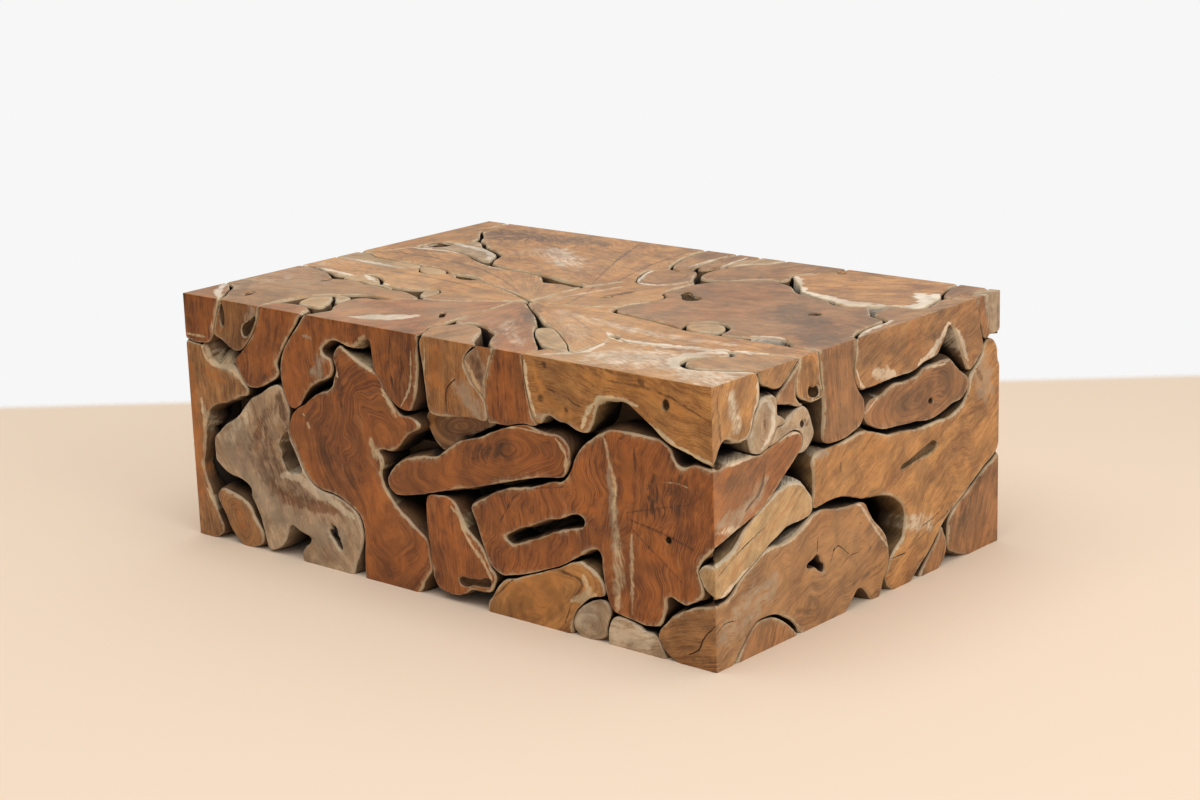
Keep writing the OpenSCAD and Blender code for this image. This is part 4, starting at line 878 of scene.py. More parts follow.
    def wall_rows(self, cap: Cap, rim_depth: np.ndarray, gap: np.ndarray, lines: np.ndarray,
                  slope: np.ndarray) -> list[tuple[np.ndarray, ...]]:
        """Runs the natural sides of a part inwards from its outline.

        Args:
            cap: the sawn face.
            rim_depth: depth of the outline's points.
            gap: room in front of them.
            lines: the grain's coordinates there.
            slope: how far the sides swell out beyond their usual form.

        Returns:
            For each row its points, depths, grain, distance to the rim and depth of the side.
        """
        flat = np.vstack([loop.points for loop in cap.loops])
        outward = np.vstack([loop.outward() for loop in cap.loops])
        sawn = np.concatenate([loop.sawn for loop in cap.loops])
        limit = self.reach_inwards(cap, flat, outward)
        bottom = np.concatenate([np.full(len(loop.points), loop.bottom) for loop in cap.loops])
        blind = bottom > 0
        swell = 0.35 + 0.65 * np.clip(0.5 + noise_at(flat, 48.0, self.seed * 30), 0, 1)
        flare = np.clip(0.38 * gap - 1.2, -0.8, 9.0)
        flare = np.where(flare > 0, flare * swell, flare) * ~sawn
        flare += np.minimum(slope, 0.7 * gap) * ~sawn
        rough = np.clip((gap - 2.0) / 6.0, 0.15, 1.0) * ~sawn
        rows = []
        for depth, shape in zip(WALL_ROWS, FLARE_SHAPE):
            if cap.setback and depth > BLOCK_DEPTH - cap.setback:
                depth = BLOCK_DEPTH - cap.setback
            place = np.hstack([flat, np.full((len(flat), 1), depth)])
            bumps = 1.3 * noise_at(place, 15.0, self.seed) + 0.6 * noise_at(
                place * [1, 1, 0.3], 5.5, self.seed)
            share = depth / BLOCK_DEPTH
            bowl = np.minimum(gap, 40.0) * 0.3 * share**2 + 0.12 * np.minimum(gap, 20.0) * bumps
            shift = np.where(blind, bowl, flare * shape + rough * bumps)
            at = np.minimum(depth, np.maximum(limit, rim_depth + 0.3))
            at = np.where(blind, np.maximum(bottom * share, rim_depth + 0.3), at)
            moved = flat + outward * shift[:, None]
            rows.append((moved, at, np.stack([lines[:, 0] + at, lines[:, 1]], axis=1),
                         np.zeros(len(flat)), at))
        return rows

    @staticmethod
    def reach_inwards(cap: Cap, flat: np.ndarray, outward: np.ndarray) -> np.ndarray:
        """Finds the depth at which a part ends on a mitre, for each point of its outline.

        Args:
            cap: the sawn face.
            flat: the outline's points.
            outward: the way out of the wood at each.

        Returns:
            The depths.
        """
        reach = np.full(len(flat), BLOCK_DEPTH - cap.setback)
        if cap.setback:
            return reach
        start = np.vstack([loop.points for loop in cap.through])
        end = np.vstack([np.roll(loop.points, -1, axis=0) for loop in cap.through])
        for axis, sign, limit in cap.plane.limits:
            away = limit - sign * flat[:, axis]
            close = away < BLOCK_DEPTH
            if not close.any():
                continue
            way = np.zeros((int(close.sum()), 2))
            way[:, axis] = -sign
            run = rays(flat[close] + way * 0.05, way, start, end)
            wooded = (outward[close, axis] * sign > 0.02) | (away[close] < 0.1)
            reach[close] = np.minimum(reach[close], away[close] + np.where(wooded, run, 0.0))
        return reach

    def collect(self, cap: Cap, rows: list[tuple[np.ndarray, ...]], triangles: np.ndarray,
                gap: np.ndarray, room: np.ndarray, tints: np.ndarray) -> None:
        """Joins a part's cap, sides, hollows and back into one closed skin.

        Args:
            cap: the sawn face.
            rows: the cap's points and then each row of the sides.
            triangles: the cap's triangles.
            gap: room in front of the rim nearest to each point of the cap.
            room: room in front of each point of the outline, for the tone of the sides: it sets how
                soon painted shade darkens them.
            tints: strength of each kind of mark on the cap.
        """
        first = self.count
        cap_size, ring = len(rows[0][0]), len(rows[1][0])
        for number, (flat, depth, lines, edge, deep) in enumerate(rows):
            if cap.setback == 0:
                flat = cap.plane.within(flat, depth)
            elif cap.plane.floor:
                flat = np.maximum(flat, [[-np.inf, 0.0]])
            self.vertices.append(cap.plane.solid(flat, depth + cap.setback))
            self.layers["grain"].append(np.column_stack([
                lines, np.full(len(flat), self.seed * 100)]))
            self.layers["edge"].append(edge)
            self.layers["deep"].append(deep)
            self.layers["gap"].append(gap if number == 0 else room)
            # Each face's share of painted sheen and sun bleaching.
            self.layers["bleach_and_sheen"].append(np.full(len(flat), BLEACH_AND_SHEEN[cap.plane.side.value]))
            fade = max(0.0, 1 - 0.1 * number)
            paint = tints[:, :Kind.CUT.value]
            self.layers["marks"].append(paint if number == 0 else paint[:ring] * fade)
            self.layers["cut"].append(tints[:, Kind.CUT.value] if number == 0
                                      else np.zeros(ring))
            self.count += len(flat)
        facing, turned = ((0, 2, 1), (0, 1, 2)) if cap.plane.mirrored else ((0, 1, 2), (0, 2, 1))
        self.faces += (triangles[:, facing] + first).tolist()
        starts = [first] + [first + cap_size + ring * k for k in range(len(rows) - 1)]
        base = 0
        for loop in cap.loops:
            number = len(loop.points)
            for top, bottom in zip(starts[:-1], starts[1:]):
                for i in range(number):
                    j = (i + 1) % number
                    quad = [top + base + i, bottom + base + i, bottom + base + j, top + base + j]
                    self.faces.append(quad[::-1] if cap.plane.mirrored else quad)
            if loop.bottom:
                patch = self.filled(loop.points, [loop])
                self.faces += (patch[:, facing] + starts[-1] + base).tolist()
            base += number
        back = self.filled(np.vstack([loop.points for loop in cap.through]), cap.through)
        self.faces += (back[:, turned] + starts[-1]).tolist()

    def mesh(self, name: str) -> bpy.types.Mesh:
        """Makes the block's mesh, in metres, with its layers as attributes.

        Args:
            name: the mesh's name.

        Returns:
            The mesh.
        """
        made = bpy.data.meshes.new(name)
        points = np.vstack(self.vertices) * MM
        made.from_pydata(points.tolist(), [], self.faces)
        for title, parts in self.layers.items():
            values = np.concatenate(parts).astype(np.float32)
            kind, key = {"grain": ("FLOAT_VECTOR", "vector"), "marks": ("FLOAT_COLOR", "color")
                         }.get(title, ("FLOAT", "value"))
            made.attributes.new(title, kind, "POINT").data.foreach_set(key, values.ravel())
        made.polygons.foreach_set("use_smooth", np.ones(len(made.polygons), bool))
        made.update()
        return made


class Wiring:
    """Places shader nodes in a tree and joins them in short calls."""

    def __init__(self, tree: bpy.types.NodeTree) -> None:
        """Works on one tree.

        Args:
            tree: a material's tree or a shader group.
        """
        self.tree = tree

    def put(self, kind: str, inputs: dict | None = None, **settings: object) -> bpy.types.Node:
        """Adds a node.

        Args:
            kind: the node's type.
            inputs: what goes in, by socket name or number: another socket or a plain value.
            settings: the node's own settings.

        Returns:
            The node.
        """
        node = self.tree.nodes.new(kind)
        for key, value in settings.items():
            setattr(node, key, value)
        for key, value in (inputs or {}).items():
            self.feed(node.inputs[key], value)
        return node

    def feed(self, socket: bpy.types.NodeSocket, value: object) -> None:
        """Joins a socket to another one, or sets its plain value.

        Args:
            socket: the socket.
            value: another socket or a plain value.
        """
        if isinstance(value, bpy.types.NodeSocket):
            self.tree.links.new(value, socket)
        else:
            socket.default_value = value

    def math(self, operation: str, *values: object, clamp: bool = False) -> bpy.types.NodeSocket:
        """Adds a sum on numbers.

        Args:
            operation: what to work out.
            values: sockets or numbers.
            clamp: whether the answer is kept from 0 to 1.

        Returns:
            The answer's socket.
        """
        node = self.put("ShaderNodeMath", dict(enumerate(values)), operation=operation,
                        use_clamp=clamp)
        return node.outputs[0]

    def times(self, a: object, b: object, clamp: bool = False) -> bpy.types.NodeSocket:
        """Multiplies two numbers."""
        return self.math("MULTIPLY", a, b, clamp=clamp)

    def scaled(self, value: object, factor: object, plus: object) -> bpy.types.NodeSocket:
        """Multiplies a number by a factor and adds another."""
        return self.math("MULTIPLY_ADD", value, factor, plus)

    def mix(self, factor: object, a: object, b: object) -> bpy.types.NodeSocket:
        """Mixes the second colour into the first by a factor."""
        return self.put("ShaderNodeMix", {0: factor, 6: a, 7: b}, data_type="RGBA").outputs[2]

    def place(self) -> bpy.types.NodeSocket:
        """Gives the position on the piece itself."""
        return self.put("ShaderNodeTexCoord").outputs["Object"]

    def step(self, value: object, low: float, high: float) -> bpy.types.NodeSocket:
        """Turns a value into a soft step from 0 at low to 1 at high.

        Args:
            value: what is stepped.
            low: where the step starts.
            high: where it ends.

        Returns:
            The step's socket.
        """
        node = self.put("ShaderNodeMapRange", {0: value, 1: low, 2: high, 3: 0.0, 4: 1.0},
                        interpolation_type="SMOOTHSTEP")
        return node.outputs[0]

    def noise(self, vector: object, scale: float, detail: float = 3.0, rough: float = 0.55,
              warp: float = 0.0) -> bpy.types.NodeSocket:
        """Adds noise.

        Args:
            vector: where it is read.
            scale: its fineness.
            detail: octaves.
            rough: strength of the finer octaves.
            warp: how far it is bent by itself.

        Returns:
            The value's socket.
        """
        node = self.put("ShaderNodeTexNoise", {"Vector": vector, "Scale": scale,
                        "Detail": detail, "Roughness": rough, "Distortion": warp})
        return node.outputs["Fac"]

    def drawn(self, grain: object, across: float, along: float, own: float, detail: float,
              rough: float, warp: float = 0.0) -> bpy.types.NodeSocket:
        """Adds noise that is drawn out along the grain.

        Args:
            grain: the grain's coordinates.
            across: size of its features across the grain.
            along: their size along it.
            own: how strongly the block's own number shifts them.
            detail: octaves.
            rough: strength of the finer octaves.
            warp: how far it is bent by itself.

        Returns:
            The value's socket.
        """
        spot = self.put("ShaderNodeVectorMath", {0: grain, 1: (1 / across, 1 / along, own)},
                        operation="MULTIPLY").outputs[0]
        return self.noise(spot, 1.0, detail, rough, warp)


def shader_group(name: str, takes: dict[str, object], gives: dict[str, str]
                 ) -> tuple[bpy.types.NodeTree, Wiring, bpy.types.Node, bpy.types.Node]:
    """Starts a shader group with named sockets.

    Args:
        name: the group's name.
        takes: inputs with their usual values; a tuple of four is a colour, of three a vector.
        gives: outputs with their socket types.

    Returns:
        The group, a wiring on it, and its input and output nodes.
    """
    tree = bpy.data.node_groups.new(name, "ShaderNodeTree")
    for key, value in takes.items():
        kind = "NodeSocketFloat"
        if isinstance(value, tuple):
            kind = "NodeSocketColor" if len(value) == 4 else "NodeSocketVector"
        tree.interface.new_socket(key, in_out="INPUT", socket_type=kind).default_value = value
    for key, kind in gives.items():
        tree.interface.new_socket(key, in_out="OUTPUT", socket_type=kind)
    wiring = Wiring(tree)
    return (tree, wiring, tree.nodes.new("NodeGroupInput"), tree.nodes.new("NodeGroupOutput"))


COLOUR, NUMBER = "NodeSocketColor", "NodeSocketFloat"
NOWHERE, ANY_WOOD = (0.0, 0.0, 0.0), (0.4, 0.2, 0.1, 1.0)
FULL_TURN = 6.2832


class SharedEffects:
    """The shader groups that the woods have in common, each built once."""

    def __init__(self) -> None:
        """Builds the groups."""
        self.figure = self.build_figure()
        self.rim = self.build_rim()
        self.side = self.build_side()
        self.patina_and_sheen = self.build_patina_and_sheen()

    @staticmethod
    def build_figure() -> bpy.types.NodeTree:
        """Makes growth rings, mottling, streaks and pores from the grain's own coordinates.

        Returns:
            The group.
        """
        tree, w, i, o = shader_group(
            "teak_figure",
            {"Grain": NOWHERE, "Light": (0.5, 0.3, 0.15, 1.0), "Dark": (0.2, 0.1, 0.05, 1.0),
             "Streak": (0.1, 0.05, 0.02, 1.0), "Ring": 5.0, "Contrast": 1.0},
            {"Color": COLOUR, "Height": NUMBER})
        grain, place = i.outputs["Grain"], w.place()
        broad = w.drawn(grain, 30, 130, 1.0, 4.0, 0.6, 0.2)
        mottle = w.drawn(grain, 13, 34, 1.3, 5.0, 0.66, 0.1)
        bands = w.drawn(grain, 6, 120, 1.0, 3.0, 0.6, 0.2)
        lines = w.drawn(grain, 1.3, 50, 1.0, 3.0, 0.65)
        across = w.put("ShaderNodeSeparateXYZ", {0: grain}).outputs[0]
        turn = w.math("ADD", w.math("DIVIDE", across, i.outputs["Ring"]), w.times(broad, 8.0))
        rings = w.math("POWER", w.scaled(w.math("SINE", w.times(turn, FULL_TURN)), 0.5, 0.5), 3.0)
        rings = w.times(rings, w.step(w.noise(place, 9.0, 2.0), 0.4, 0.62))
        tone = mottle
        for layer, share in ((broad, 0.8), (bands, 0.5), (lines, 0.95), (rings, -0.2)):
            tone = w.scaled(layer, share, tone)
        tone = w.scaled(w.math("SUBTRACT", tone, 1.57), i.outputs["Contrast"], 0.5)
        colour = w.mix(w.step(tone, 0.14, 0.84), i.outputs["Dark"], i.outputs["Light"])
        veins = w.drawn(grain, 6, 170, 1.7, 4.0, 0.66, 0.3)
        colour = w.mix(w.times(w.step(veins, 0.57, 0.72), 0.48), colour, i.outputs["Streak"])
        pores = w.step(w.drawn(grain, 0.9, 9, 1.0, 1.0, 0.5), 0.6, 0.72)
        specks = w.step(w.noise(place, 190.0, 1.0, 0.5), 0.7, 0.76)
        dots = w.math("MAXIMUM", w.times(pores, 0.38), w.times(specks, 0.6))
        w.feed(o.inputs["Color"], w.mix(dots, colour, i.outputs["Streak"]))
        w.feed(o.inputs["Height"], w.math("SUBTRACT", w.times(lines, 0.6), pores))
        return tree

    @staticmethod
    def build_rim() -> bpy.types.NodeTree:
        """Makes the pale, broken line of sapwood along a root's natural outline.

        Returns:
            The group.
        """
        tree, w, i, o = shader_group(
            "sapwood_rim",
            {"Color": ANY_WOOD, "Edge": 50.0, "Gap": 10.0, "Width": 3.0,
             "Sapwood": (0.6, 0.45, 0.3, 1.0), "Grey": (0.5, 0.42, 0.35, 1.0), "Strength": 0.8},
            {"Color": COLOUR})
        edge, place = i.outputs["Edge"], w.place()
        patch = w.step(w.noise(place, 13.0, 2.0, 0.5), 0.4, 0.56)
        ragged = w.step(w.noise(place, 75.0, 4.0, 0.65), 0.34, 0.66)
        opened = w.step(i.outputs["Gap"], 0.6, 2.6)
        width = i.outputs["Width"]
        for value, share, least in ((ragged, 1.5, 0.25), (patch, 0.75, 0.25), (opened, 0.8, 0.2)):
            width = w.times(width, w.scaled(value, share, least))
        inner = w.math("SUBTRACT", 1.0, w.step(w.math("DIVIDE", edge, width), 0.6, 1.3))
        halo = w.math("SUBTRACT", 1.0, w.step(
            w.math("DIVIDE", edge, w.times(width, 4.0)), 0.1, 1.0))
        sapwood = w.mix(w.noise(place, 55.0, 3.0, 0.6), i.outputs["Sapwood"], i.outputs["Grey"])
        colour = w.mix(w.times(halo, 0.25), i.outputs["Color"], sapwood)
        strength = w.times(i.outputs["Strength"], w.scaled(patch, 0.6, 0.4))
        w.feed(o.inputs["Color"], w.mix(w.times(inner, strength), colour, sapwood))
        return tree

    @staticmethod
    def build_side() -> bpy.types.NodeTree:
        """Makes the weathered natural skin of a root, which painted shade soon darkens with depth.

        Returns:
            The group.
        """
        tree, w, i, o = shader_group(
            "natural_side",
            {"Color": ANY_WOOD, "Grain": NOWHERE, "Deep": 0.0, "Gap": 10.0,
             "Skin": (0.35, 0.26, 0.18, 1.0), "Shadow": (0.05, 0.03, 0.02, 1.0)},
            {"Color": COLOUR, "Height": NUMBER, "Mask": NUMBER})
        fibres = w.drawn(i.outputs["Grain"], 2.2, 45, 1.0, 4.0, 0.65, 0.3)
        blotch = w.noise(w.place(), 34.0, 4.0, 0.6)
        rough = w.step(w.scaled(fibres, 0.6, w.times(blotch, 0.5)), 0.42, 0.68)
        dull = w.mix(0.6, i.outputs["Skin"], i.outputs["Shadow"])
        skin = w.mix(rough, dull, i.outputs["Skin"])
        # Painted shade: the skin goes to the shadow colour with depth, sooner where the gap in
        # front is narrow.
        fade = w.scaled(w.math("SUBTRACT", i.outputs["Gap"], 2.0), 1.1, 3.6)
        depth = w.math("DIVIDE", i.outputs["Deep"], w.math("MAXIMUM", fade, 3.6))
        skin = w.mix(w.step(depth, 0.1, 1.0), skin, i.outputs["Shadow"])
        mask = w.step(i.outputs["Deep"], 1.8, 5.0)
        w.feed(o.inputs["Color"], w.mix(mask, i.outputs["Color"], skin))
        w.feed(o.inputs["Height"], fibres)
        w.feed(o.inputs["Mask"], mask)
        return tree

    @staticmethod
    def build_patina_and_sheen() -> bpy.types.NodeTree:
        """Makes the uneven tone of old oiled wood, each block's own shade and its dry scuffs, and
        pales
        some faces: partly sun bleaching, partly painted sheen.

        Returns:
            The group.
        """
        tree, w, i, o = shader_group(
            "dry_patina_and_sheen",
            {"Color": ANY_WOOD, "Grain": NOWHERE, "Dust": 0.3, "Bleach": 0.0,
             "Bloom": (0.6, 0.5, 0.4, 1.0), "Warmth": (0.5, 0.2, 0.06, 1.0)},
            {"Color": COLOUR, "Dry": NUMBER})
        grain, place = i.outputs["Grain"], w.place()
        number = w.put("ShaderNodeSeparateXYZ", {0: grain}).outputs[2]
        own = w.put("ShaderNodeTexWhiteNoise", {"W": number},
                    noise_dimensions="1D").outputs["Value"]
        cloud = w.noise(place, 8.0, 3.0, 0.55, 0.3)
        colour = w.mix(w.times(w.step(cloud, 0.42, 0.66), 0.22), i.outputs["Color"],
                       i.outputs["Warmth"])
        stain = w.noise(place, 19.0, 4.0, 0.62, 0.4)
        shade = w.math("ADD", w.scaled(own, 0.2, 0.64), w.times(w.step(stain, 0.36, 0.6), 0.36))
        colour = w.put("ShaderNodeVectorMath", {0: colour, 3: shade}, operation="SCALE").outputs[0]
        scuff = w.drawn(grain, 6, 34, 1.0, 5.0, 0.7, 0.5)
        worn = w.times(w.step(scuff, 0.55, 0.7),
                       w.step(w.noise(place, 11.0, 2.0, 0.5), 0.46, 0.62))
        flecks = w.step(w.noise(place, 260.0, 2.0, 0.6), 0.7, 0.75)
        dry = w.times(w.math("MAXIMUM", worn, w.times(flecks, 0.8)), i.outputs["Dust"], clamp=True)
        # Painted sheen with some sun bleaching: faces are paled by their share, more on the front
        # half.
        faded_and_sheen = w.times(i.outputs["Bleach"], w.scaled(
            w.step(w.noise(place, 5.0, 4.0, 0.6), 0.34, 0.66), 0.9, 0.55))
        front = w.put("ShaderNodeSeparateXYZ", {0: place}).outputs[1]
        faded_and_sheen = w.times(faded_and_sheen, w.scaled(w.step(front, -0.35, 0.25), -1.0, 1.7))
        colour = w.mix(faded_and_sheen, colour, i.outputs["Bloom"])
        w.feed(o.inputs["Color"], w.mix(dry, colour, i.outputs["Bloom"]))
        w.feed(o.inputs["Dry"], dry)
        return tree


@dataclass(frozen=True)
class Finish:
    """One wood's tones, as hex colours, and how its sawn face is made up."""

    slot: str
    light: str
    dark: str
    streak: str
    sapwood: str
    skin: str
    # Painted shade: the colour of the sides deep in gaps and of the bottoms of cuts.
    shadow: str = "1d120a"
    # Pale tone of the real dry scuffs and of the paling that is painted sheen.
    dust_and_sheen_tone: str = "d3ae82"
    warmth: str = "b06a2c"
    grey: str = "a8937a"
    ring: float = 5.0
    contrast: float = 1.0
    rim_width: float = 2.4
    rim_strength: float = 0.85
    dust: float = 0.2
    roughness: float = 0.44

    def material(self, effects: SharedEffects) -> bpy.types.Material:
        """Builds the wood's material from the shared groups.

        Args:
            effects: the shared groups.

        Returns:
            The material.
        """
        made = bpy.data.materials.new(self.slot)
        made.use_nodes = True
        w = Wiring(made.node_tree)
        shader = made.node_tree.nodes["Principled BSDF"]
        read = {key: w.put("ShaderNodeAttribute", attribute_name=key).outputs
                for key in ("grain", "edge", "deep", "gap", "marks", "cut", "bleach_and_sheen")}
        grain, bleach_and_sheen, gap = read["grain"]["Vector"], read["bleach_and_sheen"]["Fac"], read["gap"]["Fac"]
        streak, sapwood, grey = linear(self.streak), linear(self.sapwood), linear(self.grey)
        warmth, skin, shadow = linear(self.warmth), linear(self.skin), linear(self.shadow)
        figure = self.placed(w, effects.figure, Grain=grain, Light=linear(self.light),
                             Dark=linear(self.dark), Streak=streak, Ring=self.ring,
                             Contrast=self.contrast)
        torn = w.scaled(w.drawn(grain, 5, 30, 1.0, 4.0, 0.65), 0.6,
                        w.times(w.noise(w.place(), 70.0, 4.0, 0.65), 0.4))
        torn = w.scaled(w.step(torn, 0.38, 0.62), 0.9, 0.55)
        colour = figure.outputs["Color"]
        # Where a face is paled by painted sheen and bleaching, its pale marks go whiter.
        pale = w.mix(w.times(bleach_and_sheen, 4.0, clamp=True), sapwood, linear("efe6d8"))
        marks = w.put("ShaderNodeSeparateColor", {0: read["marks"]["Color"]}).outputs
        for socket, tone in ((read["marks"]["Alpha"], warmth), (marks[2], grey),
                             (marks[1], streak), (marks[0], pale)):
            share = w.times(w.step(w.times(torn, socket), 0.16, 0.85), 0.88)
            colour = w.mix(share, colour, tone)
            skin = w.mix(share, skin, tone)
        patina_and_sheen = self.placed(w, effects.patina_and_sheen, Color=colour, Grain=grain, Dust=self.dust,
                             Bleach=bleach_and_sheen, Bloom=linear(self.dust_and_sheen_tone), Warmth=warmth)
        rim = self.placed(w, effects.rim, Color=patina_and_sheen.outputs["Color"],
                          Edge=read["edge"]["Fac"], Gap=gap, Width=self.rim_width,
                          Sapwood=sapwood, Grey=grey, Strength=self.rim_strength)
        side = self.placed(w, effects.side, Color=rim.outputs["Color"], Grain=grain,
                           Deep=read["deep"]["Fac"], Gap=gap, Skin=skin, Shadow=shadow)
        # Painted shade: the bottoms of cuts take the shadow colour.
        bottom = w.step(read["cut"]["Fac"], 0.15, 0.7)
        w.feed(shader.inputs["Base Color"], w.mix(bottom, side.outputs["Color"], shadow))
        dull = w.math("MAXIMUM", side.outputs["Mask"], patina_and_sheen.outputs["Dry"])
        rough = w.math("ADD", self.roughness, w.times(dull, 0.3))
        w.feed(shader.inputs["Roughness"], w.math(
            "ADD", rough, w.times(figure.outputs["Height"], -0.08), clamp=True))
        bark = w.times(w.times(side.outputs["Height"], side.outputs["Mask"]), 7.0)
        height = w.math("ADD", figure.outputs["Height"], bark)
        bump = w.put("ShaderNodeBump", {"Height": height, "Strength": 0.5, "Distance": 0.0003})
        w.feed(shader.inputs["Normal"], bump.outputs[0])
        shader.inputs["Specular IOR Level"].default_value = 0.45
        return made

    @staticmethod
    def placed(w: Wiring, group: bpy.types.NodeTree, **inputs: object) -> bpy.types.Node:
        """Places a shared group in a material.

        Args:
            w: the material's wiring.
            group: the shared group.
            inputs: its inputs by name.

        Returns:
            The group's node.
        """
        node = w.put("ShaderNodeGroup", node_tree=group)
        for key, value in inputs.items():
            w.feed(node.inputs[key], value)
        return node


CROWN = (-20.0, -110.0)
USUAL_BEND = 9.0

FINISHES = {finish.slot: finish for finish in (
    Finish("red_teak", "ae662b", "5f2c09", "331705", "dcc196", "6f4d2b", warmth="a95f24"),
    Finish("gold_teak", "c98e4d", "824c1f", "4b280c", "e4cda4", "85653c", warmth="c4833f"),
    Finish("brown_teak", "b47f4a", "6a401d", "3e230d", "d8be96", "735433"),
    Finish("grey_teak", "cdb190", "92704e", "5a3d24", "decbad", "8f7557", warmth="84583a",
           dust=0.5, roughness=0.6, contrast=0.9),
    Finish("dark_teak", "a87040", "5c3717", "381e0a", "d0b58c", "6b5030"),
    Finish("pale_sapwood", "ccaa78", "9f7446", "6f4b2b", "e6d4b2", "96784f", dust=0.4),
)}
FRAME_TIMBER = Finish("frame_timber", "6a523a", "4b3724", "332417", "8c7355", "4f3c2a",
                      warmth="5b432b", dust=0.2, roughness=0.7)


@dataclass(frozen=True)
class Wood:
    """Which finish a block has, and its grain on each of its faces."""

    finish: str
    grains: dict[Side, Grain]

    def grain(self, side: Side) -> Grain:
        """Gives the grain on a face, or the first one that is known."""
        return self.grains.get(side, next(iter(self.grains.values())))


# Each line names a block and its finish, and then for each of its faces the side, the figure
# and the angle, and where they differ from the usual the bend and the heart.
WOODS = """
near_corner_block gold_teak front:flame,-8,14 right:flame,62,10 top:flame,-12,16
hand_block red_teak front:burr,80,10 right:flame,38
log_slice red_teak front:rings,10,14,190,292
red_root red_teak front:rings,90,20,-95,235
arch_arm red_teak front:flame,92 top:fan,90
bell_block red_teak front:flame,78 top:flame,20
left_corner_block red_teak front:flame,88 top:flame,10 left:burr,90
grey_edge_block brown_teak front:flame,82 top:flame,15
short_block brown_teak front:flame,90 top:flame,80
front_arm red_teak front:flame,93,5 top:fan,90
grey_root grey_teak front:flame,118,20
left_wall_corner brown_teak front:flame,95,12 left:flame,90
pebble brown_teak front:rings,110
low_wedge_block red_teak front:flame,95,12
heart_block gold_teak front:rings,25
floor_knob grey_teak front:rings,0,9,333,26
floor_chip grey_teak front:flame,10
bottom_corner_root brown_teak front:flame,12 right:burr,20,14
corner_stick pale_sapwood front:flame,70 right:flame,42,4
right_arm gold_teak right:rings,80 top:fan,90,6
dark_slab dark_teak right:flame,95,7 top:flame,6,22
crown_core gold_teak top:fan,90
left_arm_low gold_teak top:fan,90 left:rings,0
left_arm_high gold_teak top:fan,90 left:rings,0
big_back_slab gold_teak top:flame,155,26 back:flame,5
right_edge_block brown_teak right:flame,50 top:flame,-15
saddle_block brown_teak right:flame,20,16 top:flame,70
back_right_slab gold_teak top:flame,30,24 back:flame,0
back_mid_slab brown_teak top:flame,70 back:flame,90
oval_slice brown_teak top:rings,60
back_finger_wide brown_teak top:flame,100 back:flame,90
back_finger_slim brown_teak top:flame,95 back:flame,90
back_finger_dark dark_teak top:flame,90 back:flame,90
far_corner_block grey_teak right:flame,85 top:flame,60 back:flame,80
back_left_corner gold_teak top:flame,80 left:flame,0 back:flame,0
pale_strip pale_sapwood top:flame,3,4 left:flame,90
pale_wedge pale_sapwood top:flame,-20,5
left_wedge grey_teak top:flame,15 left:flame,80
top_infill pale_sapwood top:flame,60,6
ear_block grey_teak right:rings,80
shoulder_block grey_teak right:flame,60
leaf_slice dark_teak right:rings,15
big_side_root gold_teak right:flame,28,26
far_bottom_corner dark_teak right:flame,70 back:flame,80
side_infill dark_teak front:flame,80 right:flame,60
left_mid_block brown_teak left:flame,60,18
left_floor_block gold_teak left:rings,10
left_back_corner brown_teak left:flame,100 back:flame,80
back_left_root grey_teak back:flame,15,20
back_centre_root red_teak back:flame,100,20
back_right_root gold_teak back:burr,60
back_floor_left brown_teak back:flame,40,16
back_floor_centre grey_teak back:rings,10
back_floor_right red_teak back:flame,130,14
inner_root_log brown_teak front:rings,5
"""


def read_woods(table: str) -> dict[str, Wood]:
    """Reads the table of woods.

    Args:
        table: its lines.

    Returns:
        Each block's wood, by the block's name.
    """
    woods = {}
    for name, finish, *faces in map(str.split, table.strip().splitlines()):
        grains = {}
        for face in faces:
            side, figure, angle, *rest = face.replace(":", ",").split(",")
            bend, *heart = map(float, rest or [USUAL_BEND])
            centre = tuple(heart) or (CROWN if figure == "fan" else None)
            grains[Side(side)] = Grain(Figure[figure.upper()], float(angle), centre, bend)
        woods[name] = Wood(finish, grains)
    return woods
